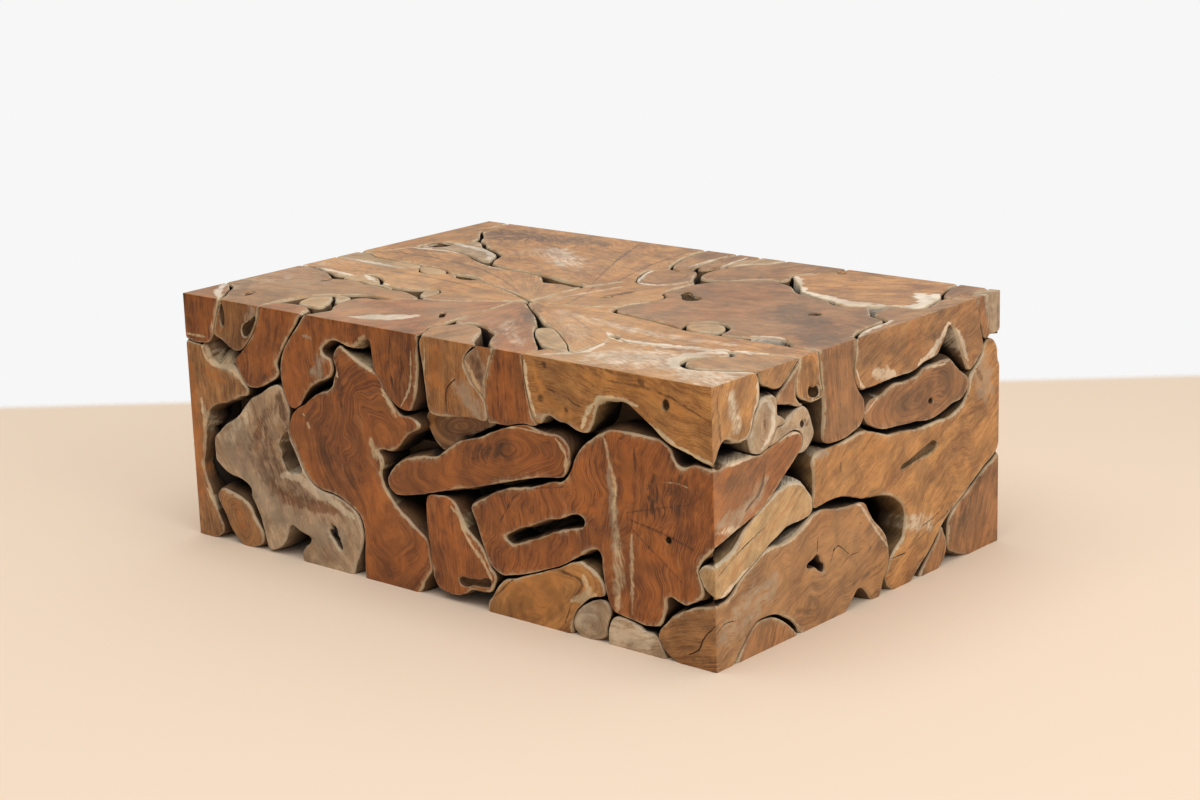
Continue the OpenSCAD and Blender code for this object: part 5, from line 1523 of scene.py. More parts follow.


# A heading names a face and the blocks that its marks are kept to, or none for all; each line
# below it is a kind, half a width, a strength or depth, and the points of the middle line. The
# broad pale marks of the near corner block on the top are partly pale wood, partly painted sheen.
MARKS = """
front left_corner_block
pale 3 .9 -598,376 -545,376
pale 4 .7 -531,385 -512,440
front left_wall_corner
warm 20 .7 -592,330 -592,200 -588,60
warm 12 .6 -560,315 -500,300
pale 7 .8 -570,260 -562,180 -559,105
grey 7 1 -545,345 -500,326 -460,318
slope 20 26 -545,345 -500,330 -470,325
slope 16 14 -560,240 -553,120
pale 5 1 -560,365 -548,338 -475,322 -447,300
pale 4 .8 -572,92 -541,42
grey 22 .7 -560,372 -500,345 -455,312
grey 9 .8 -562,250 -557,150 -552,95
front grey_edge_block
grey 6 .9 -497,398 -498,447
grey 15 .7 -430,412 -415,440
front bell_block
pale 2.5 .8 -470,337 -455,313 -438,302
dark 11 .5 -405,318 -362,342
warm 20 .6 -410,410 -380,370
warm 34 .5 -420,400 -400,340
front arch_arm
grey 5 1 -286,412 -272,412
grey 18 .6 -247,370 -262,350
pale 8 .7 -215,415 -170,408 -135,432
warm 24 .6 -310,390 -320,320
dark 3 .8 -75,440 -82,385 -70,340
dark 2.5 .7 -50,430 -54,370
pale 3 .8 -28,420 -38,352 -58,322
front red_root
dark 11 .6 -208,390 -203,300
dark 16 .5 -260,250 -240,180
pale 4 1 -287,250 -291,256
pale 3.5 1 -301,272 -298,270
pale 3 1 -210,360 -208,352
pale 4 .9 -190,400 -125,372
pale 6 .8 -102,345 -70,302
pale 9 .6 -135,250 -124,222
pale 4 1 -116,225 -101,165 -60,132 -15,106
warm 14 .8 -140,300 -138,200 -125,140
warm 34 .7 -120,110 -85,50
dark 60 .4 -260,310 -240,220 -200,150
warm 14 .5 -150,260 -152,140 -140,60
front grey_root
grey 34 .8 -520,190 -470,150 -430,90
pale 22 .55 -500,200 -450,260
grey 30 .9 -400,70 -300,60 -210,60
warm 17 .9 -412,245 -425,200 -412,150 -380,118 -300,108 -200,114
dark 9 .6 -400,235 -402,180 -385,140
dark 12 .8 -358,296 -357,262
pale 5 1 -367,150 -300,147 -240,128 -188,108
dark 14 .7 -352,286 -345,240 -322,196
pale 8 .8 -372,214 -338,184 -300,160
dark 9 1 -239,76 -231,50
cut 7 12 -239,74 -231,52
grey 40 .7 -470,235 -440,170 -400,90 -330,60
dark 10 .55 -392,215 -372,160 -330,132
dark 26 .45 -362,282 -425,225 -435,170 -400,132 -330,118 -260,118
pale 11 .9 -368,148 -330,158 -295,140 -240,124 -186,104
dark 2 .7 -318,46 -290,48
front short_block
grey 24 .8 85,372 125,338
cut 1.7 4 70,387 50,368 48,325
pale 3 .8 4,430 6,325 60,320
warm 18 .7 30,430 25,370
front side_infill
grey 26 .8 112,425 136,385
dark 15 .8 112,425 136,390
pale 5 1 90,426 112,396 130,360
pale 4 1 155,442 142,400
front front_arm
warm 22 .6 185,400 190,345
dark 3 .6 168,435 163,345
front near_corner_block
dark 6 .8 258,385 256,382
dark 5 .8 311,370 309,372
dark 5 .8 265,441 268,437
dark 6 .8 461,440 465,437
dark 11 .5 512,411 509,404
warm 14 .7 245,435 270,385 330,365
warm 16 .7 350,432 470,425 560,400
grey 11 .8 240,352 290,348 330,340
pale 4 1 225,440 232,385 245,352
pale 6 1 340,345 358,380 378,398 420,404 455,400
pale 5 1 478,376 530,348 598,332
dark 4 .6 270,402 345,380
dark 4 .6 395,432 500,428 580,402
front log_slice
pale 2.5 .8 10,268 100,300 200,326 268,324
pale 4 1 285,322 305,300 303,266
dark 22 .5 100,265 180,285
front hand_block
pale 7 .6 384,346 398,300 404,240 399,195
pale 16 .5 404,200 410,140 404,60
grey 12 .6 395,300 402,200 406,80
warm 15 .9 428,335 432,240
dark 4 .8 447,332 449,296
pale 5 .7 437,190 434,60
dark 14 .7 486,295 478,235
dark 22 .5 530,325 532,250
dark 4 .6 430,216 500,204 565,188
dark 3 .6 430,226 560,262
dark 3 .6 430,206 540,130
pale 1.8 .5 504,287 530,290 552,286
warm 11 .8 345,218 365,212
warm 18 .7 470,165 525,155
warm 10 .8 555,112 562,98
dark 3 .6 150,150 200,215 300,245
front low_wedge_block
pale 5 1 48,166 62,156 82,118 110,90 134,58
warm 16 .7 25,140 50,100
dark 7 .9 5,44 6,36
front heart_block
warm 28 .9 170,50 230,75 290,85
dark 3 .8 140,30 200,80 300,101 332,92 312,60 292,15
pale 9 .9 335,104 347,78 308,55
pale 8 .9 345,80 366,62
warm 40 .8 190,40 260,60
front floor_knob
pale 26 .6 333,30 345,45
front floor_chip
pale 34 .7 400,25 450,25
front bottom_corner_root
cut 1.6 3 598,75 575,50 565,30 545,18
front pebble
warm 16 .6 -490,70 -478,35
right near_corner_block
pale 15 .6 -352,425 -340,375
pale 5 1 -284,445 -290,400 -318,352 -372,356
dark 4 .6 -388,445 -378,345
right ear_block
pale 6 1 -306,350 -300,392 -270,402 -250,385 -252,352 -280,325
warm 11 .48 -272,378 -270,350
dark 5 .9 -272,370 -271,362
right shoulder_block
dark 6 .9 -170,345 -166,341
grey 16 .6 -230,335 -150,330
right hand_block
dark 4 .8 -270,302 -282,265 -322,238
dark 18 .5 -390,290 -310,290
pale 4 1 -398,321 -300,322 -215,334 -180,330
pale 8 .6 -395,222 -320,212
warm 18 .36 -360,270 -250,270
grey 26 .6 -392,235 -330,235 -270,275
right corner_stick
pale 5 1 -345,208 -270,240 -200,254 -160,240
pale 5 1 -398,112 -300,150 -150,190
cut 1.5 3 -396,150 -345,175 -275,200
warm 11 .42 -385,130 -280,190 -190,225
right bottom_corner_root
pale 4 1 -398,104 -330,146 -268,162 -200,164 -130,192 -20,172 15,130 60,80
cut 1.2 2 -103,95 -85,118 -52,98
cut 1.2 2 -75,80 -48,92 -20,92
cut 1.4 2 -138,122 -135,150
cut 1.4 2 -398,62 -380,72 -350,70
dark 7 .6 -200,45 -150,25
dark 6 .5 -60,40 40,55
dark 4 .6 10,92 6,86
grey 40 .55 -390,50 -320,80 -240,110
right big_side_root
grey 9 1 -138,286 -110,280
dark 5 .8 -72,254 -73,242
pale 22 .5 100,110 180,90
grey 34 .7 330,340 355,290
dark 8 .8 325,330 345,300
dark 7 .8 255,272 300,284
cut 1.6 4 158,87 200,95 235,112
cut 1.3 3 68,55 115,54
dark 4 .6 120,60 230,90 340,130
warm 26 .36 -60,265 100,235
warm 16 .36 180,130 290,190 390,205
right far_bottom_corner
dark 5 .6 275,40 300,90 350,130
warm 14 .42 320,110 345,120
dark 26 .4 280,60 340,140
right leaf_slice
pale 3 1 -2,322 60,352 140,362 230,355
dark 26 .4 60,310 150,320
right dark_slab
warm 14 .36 -95,430 -100,380 -60,320
right right_arm
dark 7 .7 -155,385 -135,378
dark 26 .5 -165,400 -140,370
dark 44 .6 -170,420 -130,370
right saddle_block
pale 14 .9 20,384 80,368
pale 8 1 150,370 200,388 238,424
pale 7 1 240,424 270,395 300,345
pale 4 1 -28,400 -15,372 100,362
warm 14 .48 118,402 130,445
dark 24 .4 60,410 180,420 250,380
top arch_arm
pale 15 1.5 -193,-362 -150,-328 -112,-297
pale 10 .8 -205,-366 -150,-352 -112,-312
top back_right_slab
pale 15 1.5 236,300 280,245 322,206
pale 17 1.5 322,206 400,186 470,178 540,198 556,240 530,310
pale 20 1.5 500,300 540,270 556,225
dark 8 .9 272,366 280,372
top
pale 9 1.5 240,-215 278,-237 350,-237 440,-217 545,-190
pale 9 1.5 450,-238 456,-300 482,-327 530,-322 600,-290
pale 6 1.5 273,-248 292,-340 250,-385
pale 5 1.5 -430,-112 -372,-142
pale 6 1.5 452,-106 490,-92 535,-118
grey 26 .42 -500,-180 -440,-200
grey 60 .24 -540,-300 -380,-250 -200,-330
top short_block
pale 7 1.5 -40,-345 -22,-300 30,-291 80,-320
top big_back_slab
pale 5 1.5 -138,56 -40,32
dark 30 .72 -520,350 -460,280 -400,330
dark 16 .9 -265,350 -235,335
pale 42 .5 -280,240 -180,170
warm 14 .8 -330,100 -200,88 -120,80
dark 55 .61 -500,345 -380,330 -260,345
pale 60 .3 -320,220 -230,200 -150,150
dark 4 .87 -190,385 -110,210 -30,60
warm 8 .6 -120,370 -70,220 -15,80
dark 3 .87 -60,380 -40,220 0,90
top saddle_block
pale 7 1.5 576,110 580,40 596,-20
top left_corner_block
pale 7 1.5 -590,-310 -560,-350 -500,-398
top front_arm right_arm
dark 16 .87 0,-118 55,-195
dark 18 .87 -5,-150 55,-200 110,-238
dark 2 .8 30,-112 150,-180 215,-222
pale 22 .35 40,-240 120,-310 190,-370
pale 30 .3 60,-140 170,-215 240,-285
dark 2 .8 90,-128 250,-172 420,-190 540,-172
top dark_slab
dark 34 .72 380,100 470,20
dark 24 .72 540,-30 560,-100
warm 30 .6 180,60 200,-60
dark 5 .9 440,76 443,74
warm 60 .4 250,-40 340,60 290,150
dark 60 .65 400,70 500,0 560,-70
warm 40 .35 190,140 260,20 330,-60
pale 5 .8 125,100 130,50 145,-20
top grey_edge_block
grey 22 .35 -560,-230 -450,-260
grey 40 .35 -540,-180 -450,-240 -420,-270
warm 10 .6 -440,-235 -350,-195 -250,-215
top crown_core
cut 2.2 6 62,-12 72,20 75,45
dark 9 .87 60,-15 78,60
pale 6 .6 -5,-60 20,20 30,70
dark 3 .9 -40,-60 -60,30 -70,80
pale 24 .35 -60,-70 0,-70
dark 5 .72 -20,60 20,-20 40,-90
top right_arm
pale 5 .35 170,-150 260,-175 420,-165 480,-150
dark 2 .8 340,-178 420,-160 480,-152
pale 22 .4 60,-135 200,-165 330,-180 470,-170
top front_arm arch_arm
warm 6 .8 -35,-150 -25,-300
grey 14 .35 20,-180 60,-260 110,-350
top front_arm
pale 7 .6 -60,-140 -40,-230 -30,-330
top near_corner_block
grey 60 .35 330,-330 420,-290 560,-350
pale 20 .5 380,-262 470,-270 560,-240
pale 80 .5 360,-330 470,-300 560,-350
pale 12 1.5 262,-238 350,-240 430,-216 540,-182 600,-166
pale 13 1.5 492,-214 456,-240 450,-300 482,-327 530,-317 600,-290
dark 7 .8 268,-232 276,-240
dark 2 .72 330,-290 420,-330 560,-372
dark 2 .72 300,-320 360,-360 420,-390
top left_arm_high
dark 4 .87 -570,70 -420,70 -280,40 -110,-50
pale 6 1.5 -560,118 -400,128 -300,76 -160,66
top left_arm_low
dark 3 .87 -560,-70 -300,-62 -110,-92
pale 6 1.5 -600,-108 -480,-122 -380,-142 -330,-150
warm 12 .5 -500,-50 -300,-45 -150,-80
top pale_strip
pale 6 1.5 -600,-24 -500,-24 -400,-34
dark 2 .9 -590,-34 -480,-34 -400,-42
top left_wedge
pale 10 .8 -510,196 -430,180 -360,150 -335,115
dark 14 .87 -545,165 -500,185
top oval_slice
pale 5 1.5 -8,200 12,145 40,104 85,118 108,165 90,205
top back_mid_slab
dark 9 .72 150,235 240,290
top back_finger_wide back_finger_slim back_finger_dark
pale 4 .9 -42,375 -30,285 -5,238
pale 4 .9 24,380 26,260
pale 4 .9 66,385 76,290
left left_mid_block
pale 4 .9 -380,270 -330,300 -270,310 -210,300
dark 12 .5 -330,230 -240,260 -150,240
warm 26 .6 -290,200 -200,220
left left_floor_block
dark 14 .5 -60,60 20,110 80,60
pale 5 .9 -120,150 -40,215 60,215 120,150
cut 1.6 3 -20,110 20,150 70,170
left left_back_corner
dark 8 .6 230,380 250,200 280,40
pale 22 .5 330,320 350,180
warm 30 .6 200,180 240,80
left left_wall_corner
pale 10 .7 -380,320 -370,180 -385,60
dark 5 .6 -330,250 -320,120
left big_back_slab back_left_corner
dark 3 .6 380,420 250,410 160,440
pale 6 .9 390,310 300,340 200,400
back back_centre_root
pale 5 .9 -190,300 -100,270 20,250
dark 12 .5 -150,320 -60,300 60,330
cut 1.4 3 40,300 80,310 130,300
back back_left_root
pale 5 .9 280,250 330,200 380,150
dark 5 .6 330,290 420,260 500,200
back back_right_root
dark 9 .5 -560,230 -480,260 -420,220
warm 30 .6 -500,300 -420,260
back back_floor_left
dark 4 .6 120,60 180,160 220,260
pale 16 .5 160,30 250,60
cut 1.6 3 260,60 300,110 310,170
back back_floor_centre
dark 6 .5 -120,40 -60,110 20,170
pale 5 .9 -130,180 -60,230 40,230
back back_floor_right
pale 12 .6 -330,40 -300,130
dark 6 .6 -260,60 -240,160 -200,220
back back_right_slab
dark 4 .6 -500,400 -380,390 -260,420
pale 5 .9 -520,320 -440,350 -340,330
top left_arm_low left_arm_high grey_edge_block left_corner_block
pale 70 .3 -560,-60 -560,-300
"""


def read_marks(table: str) -> list[Mark]:
    """Reads the table of marks.

    Args:
        table: its lines.

    Returns:
        The marks.
    """
    marks, side, nodes = [], Side.FRONT, ()
    for kind, *words in map(str.split, table.strip().splitlines()):
        if kind.upper() in Kind.__members__:
            path = tuple(tuple(map(float, point.split(","))) for point in words[2:])
            marks.append(Mark(side, Kind[kind.upper()], path, float(words[0]), float(words[1]),
                              nodes))
        else:
            side, nodes = Side(kind), tuple(words)
    return marks


class RootBlocks:
    """The mosaic: every root block of the top and the four walls."""

    def __init__(self, frame: dict, planes: dict[Side, Plane]) -> None:
        """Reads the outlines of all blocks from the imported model.

        Args:
            frame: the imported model.
            planes: the table's outer planes.
        """
        self.nodes = frame["nodes"]
        self.planes = planes
        self.woods = read_woods(WOODS)
        self.caps: list[Cap] = []
        for name in self.woods:
            places, triangles = merged_triangles(self.nodes[name].data)
            inner = name == INNER_LOG
            for plane in [planes[Side.FRONT]] if inner else planes.values():
                self.read_caps(name, places, triangles, plane, LOG_SETBACK if inner else 0.0)
        self.measure_gaps()

    def read_caps(self, name: str, places: np.ndarray, triangles: np.ndarray, plane: Plane,
                  setback: float) -> None:
        """Finds a node's sawn faces on one plane.

        Args:
            name: the node.
            places: its corners.
            triangles: its triangles.
            plane: the plane.
            setback: how far behind the plane the face lies.
        """
        on_plane = np.abs(plane.depth(places) - setback) < ON_PLANE
        flat = plane.flat(places)
        loops = []
        for chain in chained(triangles[on_plane[triangles].all(axis=1)]):
            corners = flat[chain]
            loop = refined(plane, corners[::-1] if plane.mirrored else corners)
            if loop is not None:
                loops.append(loop)
        outer = [loop for loop in loops if loop.area() > LEAST_FACE]
        holes = [loop for loop in loops if loop.area() < -LEAST_HOLE]
        for hole in holes:
            hole.bottom = self.hollow_depth(hole, flat, plane.depth(places), triangles)
        for loop in outer:
            within = [h for h in holes if inside(h.points[:1], [loop])[0]]
            within.sort(key=lambda hole: hole.bottom)
            self.caps.append(Cap(name, plane, setback, [loop] + within))

    @staticmethod
    def hollow_depth(hole: Loop, flat: np.ndarray, depth: np.ndarray, triangles: np.ndarray
                     ) -> float:
        """Finds how deep a hollow of a node is.

        Args:
            hole: its outline.
            flat: the node's corners on the plane.
            depth: how far they lie behind it.
            triangles: the node's triangles.

        Returns:
            The depth, or 0 where the hole goes through.
        """
        levels = depth[triangles]
        level = levels.mean(axis=1)
        floors = (np.ptp(levels, axis=1) < ON_PLANE) & (level > 3) & (level < BLOCK_DEPTH - 1)
        corners = flat[triangles[floors]]
        if not len(corners):
            return 0.0
        edges = corners[:, 1:] - corners[:, :1]
        area = np.abs(edges[:, 0, 0] * edges[:, 1, 1] - edges[:, 0, 1] * edges[:, 1, 0]) / 2
        area *= inside(corners.mean(axis=1), [hole])
        totals = defaultdict(float)
        for at, part in zip(np.round(level[floors], 1), area):
            totals[float(at)] += float(part)
        best = max(totals, key=totals.get)
        return best if totals[best] > 0.4 * abs(hole.area()) else 0.0

    def measure_gaps(self) -> None:
        """Works out, all along each outline, the room in front of it, its wear and its wobble."""
        for plane in self.planes.values():
            caps = [cap for cap in self.caps if cap.plane is plane]
            loops = [loop for cap in caps for loop in cap.loops]
            start = np.vstack([loop.points[::2] for loop in loops])
            end = np.vstack([np.roll(loop.points[::2], -1, axis=0) for loop in loops])
            for cap in caps:
                for loop in cap.loops:
                    out = loop.outward()
                    ahead = rays(loop.points + out * 0.15, out, start, end)
                    loop.gap = np.where(loop.sawn, SAWN_GAP, ring_mean(ahead, 3))
        for number, cap in enumerate(self.caps):
            shifts = []
            for loop in cap.loops:
                size = np.clip(0.1 + 0.3 * loop.gap, 0.12, 1.3) * ~loop.sawn
                wave = 0.5 + 0.5 * noise_at(loop.points, SEAM_NOISE, number * 3.7)
                wave += 0.3 * noise_at(loop.points, 5.5, number * 3.7)
                shifts.append(-loop.outward() * (size * wave)[:, None])
                loop.radius = np.clip(0.5 + 0.5 * ring_mean(loop.gap, 2), 0.7, 2.8)
            plain = [loop.points for loop in cap.loops]
            for share in (1.0, 0.5, 0.2, 0.0):
                for loop, points, shift in zip(cap.loops, plain, shifts):
                    loop.points = points + shift * share
                if not crosses(cap.loops):
                    break
            else:
                log.warning("%s on the %s has an outline that crosses itself", cap.node,
                            cap.plane.side.value)

    def build(self, effects: SharedEffects) -> None:
        """Builds every block, gives it its wood and puts it in its node's place.

        Args:
            effects: the shared shader groups.
        """
        materials = {key: finish.material(effects) for key, finish in FINISHES.items()}
        marks = read_marks(MARKS)
        for number, (name, look) in enumerate(self.woods.items()):
            shape = BlockShape(number * SEED_STEP % 1.0)
            caps = [cap for cap in self.caps if cap.node == name]
            for cap in caps:
                shape.add(cap, look.grain(cap.plane.side), [m for m in marks if m.touches(cap)])
            piece = put_in_scene(f"{name}_wood", shape.mesh(name))
            piece.data.materials.append(materials[look.finish])
            hollows = sum(bool(loop.bottom) for cap in caps for loop in cap.loops)
            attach(piece, "root")
            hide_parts(name)
            log.info("%s: %d faces, %d hollows", piece.name, len(piece.data.polygons), hollows)


class TimberFrame:
    """The plain inner frame: posts and rails as packed, and a row of slats under the top."""

    ALONG = {"corner_posts": 2, "long_rails": 0, "short_rails": 1}
    EASED_BY, EASED_ANGLE, EASED_LENGTH = 0.0009, 0.5, 0.02
    MERGED_WITHIN = 1e-5
    SLAT_ROUND, SLAT_SEED = 0.0015, 7
    FIRST_GRAIN, SLAT_GRAIN, GRAIN_SLANT = 40.0, 45.0, 0.4
    NO_EDGE_NEAR = 50.0

    def __init__(self, frame: dict, effects: SharedEffects) -> None:
        """Builds the frame's material.

        Args:
            frame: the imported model.
            effects: the shared shader groups.
        """
        self.nodes = frame["nodes"]
        self.timber = FRAME_TIMBER.material(effects)

    def build(self) -> None:
        """Builds the posts, the rails and the slats."""
        for number, (name, axis) in enumerate(self.ALONG.items()):
            self.finish_piece(f"{name}_timber", self.eased(self.nodes[name].data, axis, number),
                              name)
        self.finish_piece("top_slats_timber", self.slats(self.nodes["top_slats"].data),
                          "top_slats")

    @staticmethod
    def finish_piece(title: str, mesh: bpy.types.Mesh, node: str) -> None:
        """Puts a finished mesh in its node's place.

        Args:
            title: the piece's name.
            mesh: its mesh.
            node: the node it stands for.
        """
        piece = put_in_scene(title, mesh)
        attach(piece, "root")
        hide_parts(node)
        log.info("%s: %d faces", piece.name, len(mesh.polygons))

    def eased(self, packed: bpy.types.Mesh, axis: int, number: int) -> bpy.types.Mesh:
        """Copies a node's mesh with its edges eased and its grain laid along it.

        Args:
            packed: the node's mesh, which stays as it is.
            axis: the axis that the timber runs along.
            number: sets this timber's grain apart.

        Returns:
            The new mesh.
        """
        shape = bmesh.new()
        shape.from_mesh(packed)
        bmesh.ops.remove_doubles(shape, verts=shape.verts, dist=self.MERGED_WITHIN)
        bmesh.ops.dissolve_limit(shape, angle_limit=math.radians(1), verts=shape.verts,
                                 edges=shape.edges)
        sharp = [edge for edge in shape.edges if len(edge.link_faces) == 2
                 and edge.calc_face_angle(0.0) > self.EASED_ANGLE
                 and edge.calc_length() > self.EASED_LENGTH and edge.is_convex]
        bmesh.ops.bevel(shape, geom=sharp, offset=self.EASED_BY, segments=2, affect="EDGES",
                        profile=0.6, clamp_overlap=True)
        bmesh.ops.triangulate(shape, faces=shape.faces)
        mesh = bpy.data.meshes.new(packed.name + "_eased")
        shape.to_mesh(mesh)
        shape.free()
        places = np.zeros(len(mesh.vertices) * 3)
        mesh.vertices.foreach_get("co", places)
        places = places.reshape(-1, 3) / MM
        a, b = (k for k in range(3) if k != axis)
        grain = np.stack([places[:, a] + self.GRAIN_SLANT * places[:, b], places[:, axis],
                          np.full(len(places), self.FIRST_GRAIN + number)], axis=1)
        mesh.attributes.new("grain", "FLOAT_VECTOR", "POINT").data.foreach_set(
            "vector", grain.astype(np.float32).ravel())
        mesh.attributes.new("edge", "FLOAT", "POINT").data.foreach_set(
            "value", np.full(len(places), self.NO_EDGE_NEAR, np.float32))
        mesh.materials.clear()
        mesh.materials.append(self.timber)
        return mesh

    def slats(self, packed: bpy.types.Mesh) -> bpy.types.Mesh:
        """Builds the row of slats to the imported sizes.

        Args:
            packed: the node's mesh, read for the row's sizes.

        Returns:
            The new mesh.
        """
        places = np.array([v.co[:] for v in packed.vertices])
        low, high = places.min(axis=0), places.max(axis=0)
        sides = np.unique(np.round(places[:, 0], 5))
        width, pitch = sides[1] - sides[0], sides[2] - sides[0]
        tree = self.slat_tree()
        holder = put_in_scene("slat_row", bpy.data.meshes.new("slat_row"))
        row = holder.modifiers.new("row", "NODES")
        row.node_group = tree
        values = {"Count": len(sides) // 2, "Pitch": pitch, "Width": width,
                  "Length": high[1] - low[1], "Thickness": high[2] - low[2],
                  "Rounding": self.SLAT_ROUND, "Seed": self.SLAT_SEED, "Timber": self.timber,
                  "Start": (low[0] + width / 2, (low[1] + high[1]) / 2, (low[2] + high[2]) / 2)}
        for item in tree.interface.items_tree:
            if item.in_out == "INPUT" and item.name in values:
                row[item.identifier] = values[item.name]
        holder.update_tag()
        graph = bpy.context.evaluated_depsgraph_get()
        graph.update()
        mesh = bpy.data.meshes.new_from_object(holder.evaluated_get(graph))
        holder.modifiers.clear()
        bpy.data.objects.remove(holder)
        return mesh

    def slat_tree(self) -> bpy.types.NodeTree:
        """Makes the tree that lays a row of eased slats, with its sizes as named inputs.

        Returns:
            The tree.
        """
        tree = bpy.data.node_groups.new("slat_row", "GeometryNodeTree")
        for key, kind in (("Start", "Vector"), ("Count", "Int"), ("Pitch", "Float"),
                          ("Width", "Float"), ("Length", "Float"), ("Thickness", "Float"),
                          ("Rounding", "Float"), ("Seed", "Int"), ("Timber", "Material")):
            tree.interface.new_socket(key, in_out="INPUT", socket_type="NodeSocket" + kind)
        tree.interface.new_socket("Geometry", in_out="OUTPUT", socket_type="NodeSocketGeometry")
        w = Wiring(tree)
        takes = tree.nodes.new("NodeGroupInput").outputs
        half = w.times(takes["Length"], 0.5)
        end = w.put("ShaderNodeCombineXYZ", {"Y": half}).outputs[0]
        start = w.put("ShaderNodeCombineXYZ", {"Y": w.times(half, -1.0)}).outputs[0]
        rail = w.put("GeometryNodeCurvePrimitiveLine", {"Start": start, "End": end})
        section = w.put("GeometryNodeCurvePrimitiveQuadrilateral",
                        {"Width": takes["Width"], "Height": takes["Thickness"]})
        eased = w.put("GeometryNodeFilletCurve", {"Curve": section.outputs[0], "Count": 2,
                                                  "Radius": takes["Rounding"]}, mode="POLY")
        slat = w.put("GeometryNodeCurveToMesh", {"Curve": rail.outputs[0], "Profile Curve":
                                                 eased.outputs[0], "Fill Caps": True})
        step = w.put("ShaderNodeCombineXYZ", {"X": takes["Pitch"]}).outputs[0]
        line = w.put("GeometryNodeMeshLine", {"Count": takes["Count"], "Start Location":
                                              takes["Start"], "Offset": step}, mode="OFFSET")
        trim = w.put("FunctionNodeRandomValue", {"Min": (1.0, 0.995, 1.0), "Max": (1.0, 1.0, 1.0),
                                                 "Seed": takes["Seed"]}, data_type="FLOAT_VECTOR")
        laid = w.put("GeometryNodeInstanceOnPoints", {
            "Points": line.outputs[0], "Instance": slat.outputs[0], "Scale": trim.outputs[0]})
        solid = w.put("GeometryNodeRealizeInstances", {0: laid.outputs[0]}).outputs[0]
        place = w.put("GeometryNodeInputPosition").outputs[0]
        x, y, z = w.put("ShaderNodeSeparateXYZ", {0: place}).outputs
        across = w.times(w.scaled(z, self.GRAIN_SLANT, x), 1 / MM)
        grain = w.put("ShaderNodeCombineXYZ", {
            0: across, 1: w.times(y, 1 / MM), 2: self.SLAT_GRAIN}).outputs[0]
        for name, kind, value in (("grain", "FLOAT_VECTOR", grain),
                                  ("edge", "FLOAT", self.NO_EDGE_NEAR)):
            kept = w.put("GeometryNodeStoreNamedAttribute", {"Geometry": solid, "Name": name},
                         data_type=kind)
            w.feed(next(socket for socket in kept.inputs
                        if socket.name == "Value" and socket.enabled), value)
            solid = kept.outputs[0]
        done = w.put("GeometryNodeSetMaterial", {"Geometry": solid, "Material": takes["Timber"]})
        w.feed(tree.nodes.new("NodeGroupOutput").inputs[0], done.outputs[0])
        return tree


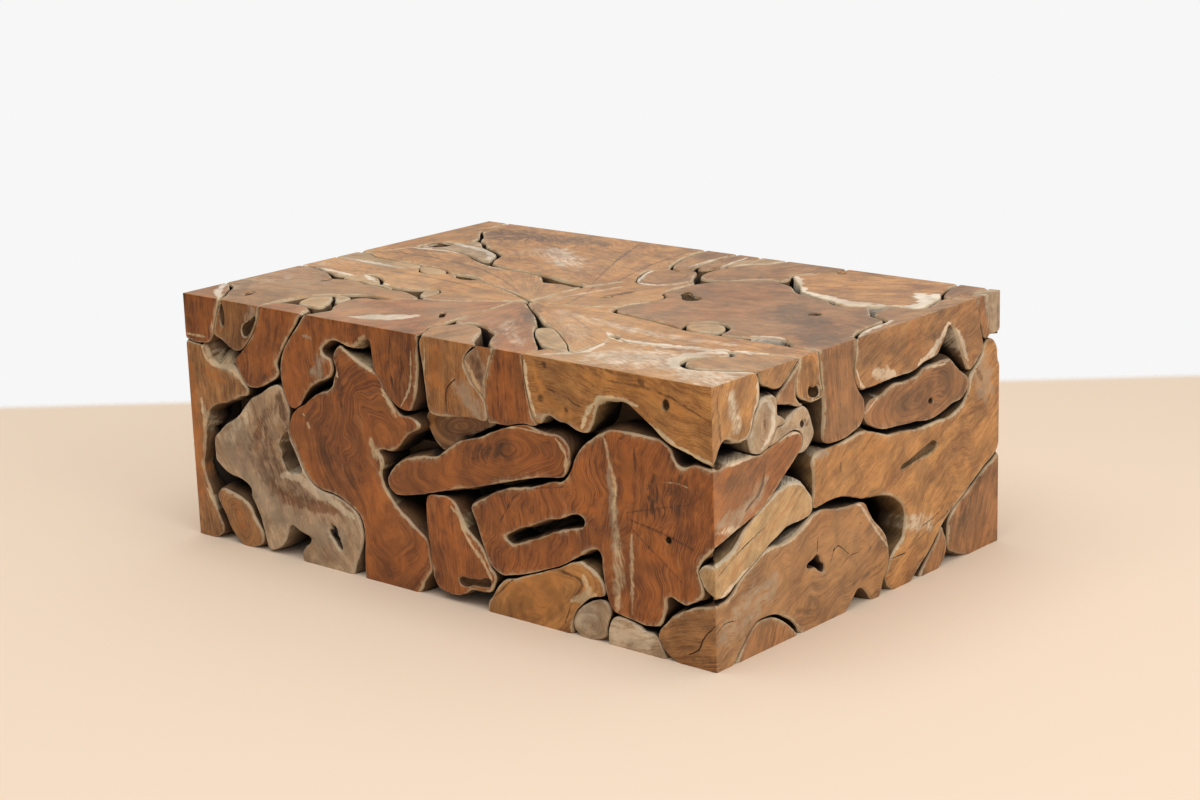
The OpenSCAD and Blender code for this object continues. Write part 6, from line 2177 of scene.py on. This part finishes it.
class Studio:
    """The pale floor, the soft light and the camera."""

    FOCAL_WIDTHS = 2482.6 / 1200
    FILM = 36.0
    DISTANCE = 4.45524
    AZIMUTH, ELEVATION, ROLL = math.radians(41.14), math.radians(14.79), math.radians(-1.797)
    AIM = (0.0162, 0.24492)
    FLOOR_HALF = 6.0
    FLOOR_TONE = (0.86, 0.69, 0.53, 1.0)
    FLOOR_END_WAY, FLOOR_END = (-0.644, 0.765, 0.0), (1.0, 1.06)
    FLOOR_FADE = (2.4, 3.6)
    LAMPS = (("window_right", (4.2, -0.6, 2.6), 2.6, 48, (1.0, 0.98, 0.96)),
             ("ceiling", (-0.1, -0.9, 3.8), 3.4, 60, (1.0, 1.0, 1.0)))
    LAMPS_AIM = (0.0, 0.0, 0.2)
    BRIGHT_WAY = (0.55, 0.45, 0.7)
    SEEN_WHITE = 0.93

    def build(self) -> None:
        """Sets the stage."""
        self.build_floor()
        self.build_lights()
        self.build_camera()
        bpy.context.scene.view_settings.view_transform = "Standard"

    def build_floor(self) -> None:
        """Lays a plain pale floor that ends behind the table and fades out further off."""
        mesh = bpy.data.meshes.new("floor")
        corners = [(-1, -1), (1, -1), (1, 1), (-1, 1)]
        mesh.from_pydata([(x * self.FLOOR_HALF, y * self.FLOOR_HALF, 0) for x, y in corners],
                         [], [(0, 1, 2, 3)])
        floor = put_in_scene("floor", mesh)
        made = bpy.data.materials.new("pale_floor")
        made.use_nodes = True
        w = Wiring(made.node_tree)
        shader = made.node_tree.nodes["Principled BSDF"]
        place = w.place()
        back = w.put("ShaderNodeVectorMath", {0: place, 1: self.FLOOR_END_WAY},
                     operation="DOT_PRODUCT").outputs["Value"]
        out = w.put("ShaderNodeVectorMath", {0: place}, operation="LENGTH").outputs["Value"]
        hidden = w.math("MAXIMUM", w.step(back, *self.FLOOR_END), w.step(out, *self.FLOOR_FADE))
        w.feed(shader.inputs["Alpha"], w.math("SUBTRACT", 1.0, hidden))
        shader.inputs["Base Color"].default_value = self.FLOOR_TONE
        shader.inputs["Roughness"].default_value = 0.9
        shader.inputs["Specular IOR Level"].default_value = 0.1
        mesh.materials.append(made)
        floor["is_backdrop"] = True

    def lamp(self, name: str, place: tuple[float, float, float], size: float, watts: float,
             tint: tuple[float, float, float]) -> None:
        """Hangs a soft square lamp that faces the table.

        Args:
            name: the lamp's name.
            place: where it hangs.
            size: its side.
            watts: its power.
            tint: its colour.
        """
        light = bpy.data.lights.new(name, "AREA")
        light.size, light.energy, light.color = size, watts, tint
        lamp = put_in_scene(name, light)
        lamp.location = place
        way = Vector(self.LAMPS_AIM) - Vector(place)
        lamp.rotation_euler = way.to_track_quat("-Z", "Y").to_euler()

    def build_lights(self) -> None:
        """Hangs the lamps and makes the surround, pale on the right, above and behind."""
        for lamp in self.LAMPS:
            self.lamp(*lamp)
        world = bpy.data.worlds.new("studio")
        bpy.context.scene.world = world
        world.use_nodes = True
        w = Wiring(world.node_tree)
        surround = world.node_tree.nodes["Background"]
        surround.inputs["Color"].default_value = (1.0, 1.0, 1.0, 1.0)
        way = w.put("ShaderNodeTexCoord").outputs["Generated"]
        lit = w.put("ShaderNodeVectorMath", {0: way, 1: self.BRIGHT_WAY},
                    operation="DOT_PRODUCT").outputs["Value"]
        lit = w.scaled(w.step(lit, -0.45, 0.35), 0.68, 0.08)
        seen = w.put("ShaderNodeLightPath").outputs["Is Camera Ray"]
        w.feed(surround.inputs["Strength"], w.math("ADD", w.times(seen, self.SEEN_WHITE), w.times(
            lit, w.math("SUBTRACT", 1.0, seen))))

    def build_camera(self) -> None:
        """Stands the camera where the picture was taken from."""
        a, e, r = self.AZIMUTH, self.ELEVATION, self.ROLL
        back = Vector((math.sin(a) * math.cos(e), -math.cos(a) * math.cos(e), math.sin(e)))
        right = Vector((math.cos(a), math.sin(a), 0))
        up = back.cross(right)
        turned_right = math.cos(r) * right + math.sin(r) * up
        turned_up = math.cos(r) * up - math.sin(r) * right
        data = bpy.data.cameras.new("camera")
        data.sensor_width = self.FILM
        data.lens = self.FILM * self.FOCAL_WIDTHS
        data.clip_end = 100.0
        camera = put_in_scene("camera", data)
        place = self.AIM[0] * turned_right + self.AIM[1] * turned_up + self.DISTANCE * back
        turn = Matrix((turned_right, turned_up, back)).transposed().to_4x4()
        camera.matrix_world = Matrix.Translation(place) @ turn
        bpy.context.scene.camera = camera


def main() -> None:
    """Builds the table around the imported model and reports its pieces."""
    logging.basicConfig(level=logging.INFO, format="%(message)s")
    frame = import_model()
    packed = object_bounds()
    planes = table_planes(*packed)
    Studio().build()
    effects = SharedEffects()
    RootBlocks(frame, planes).build(effects)
    TimberFrame(frame, effects).build()


if __name__ == "__main__":
    main()
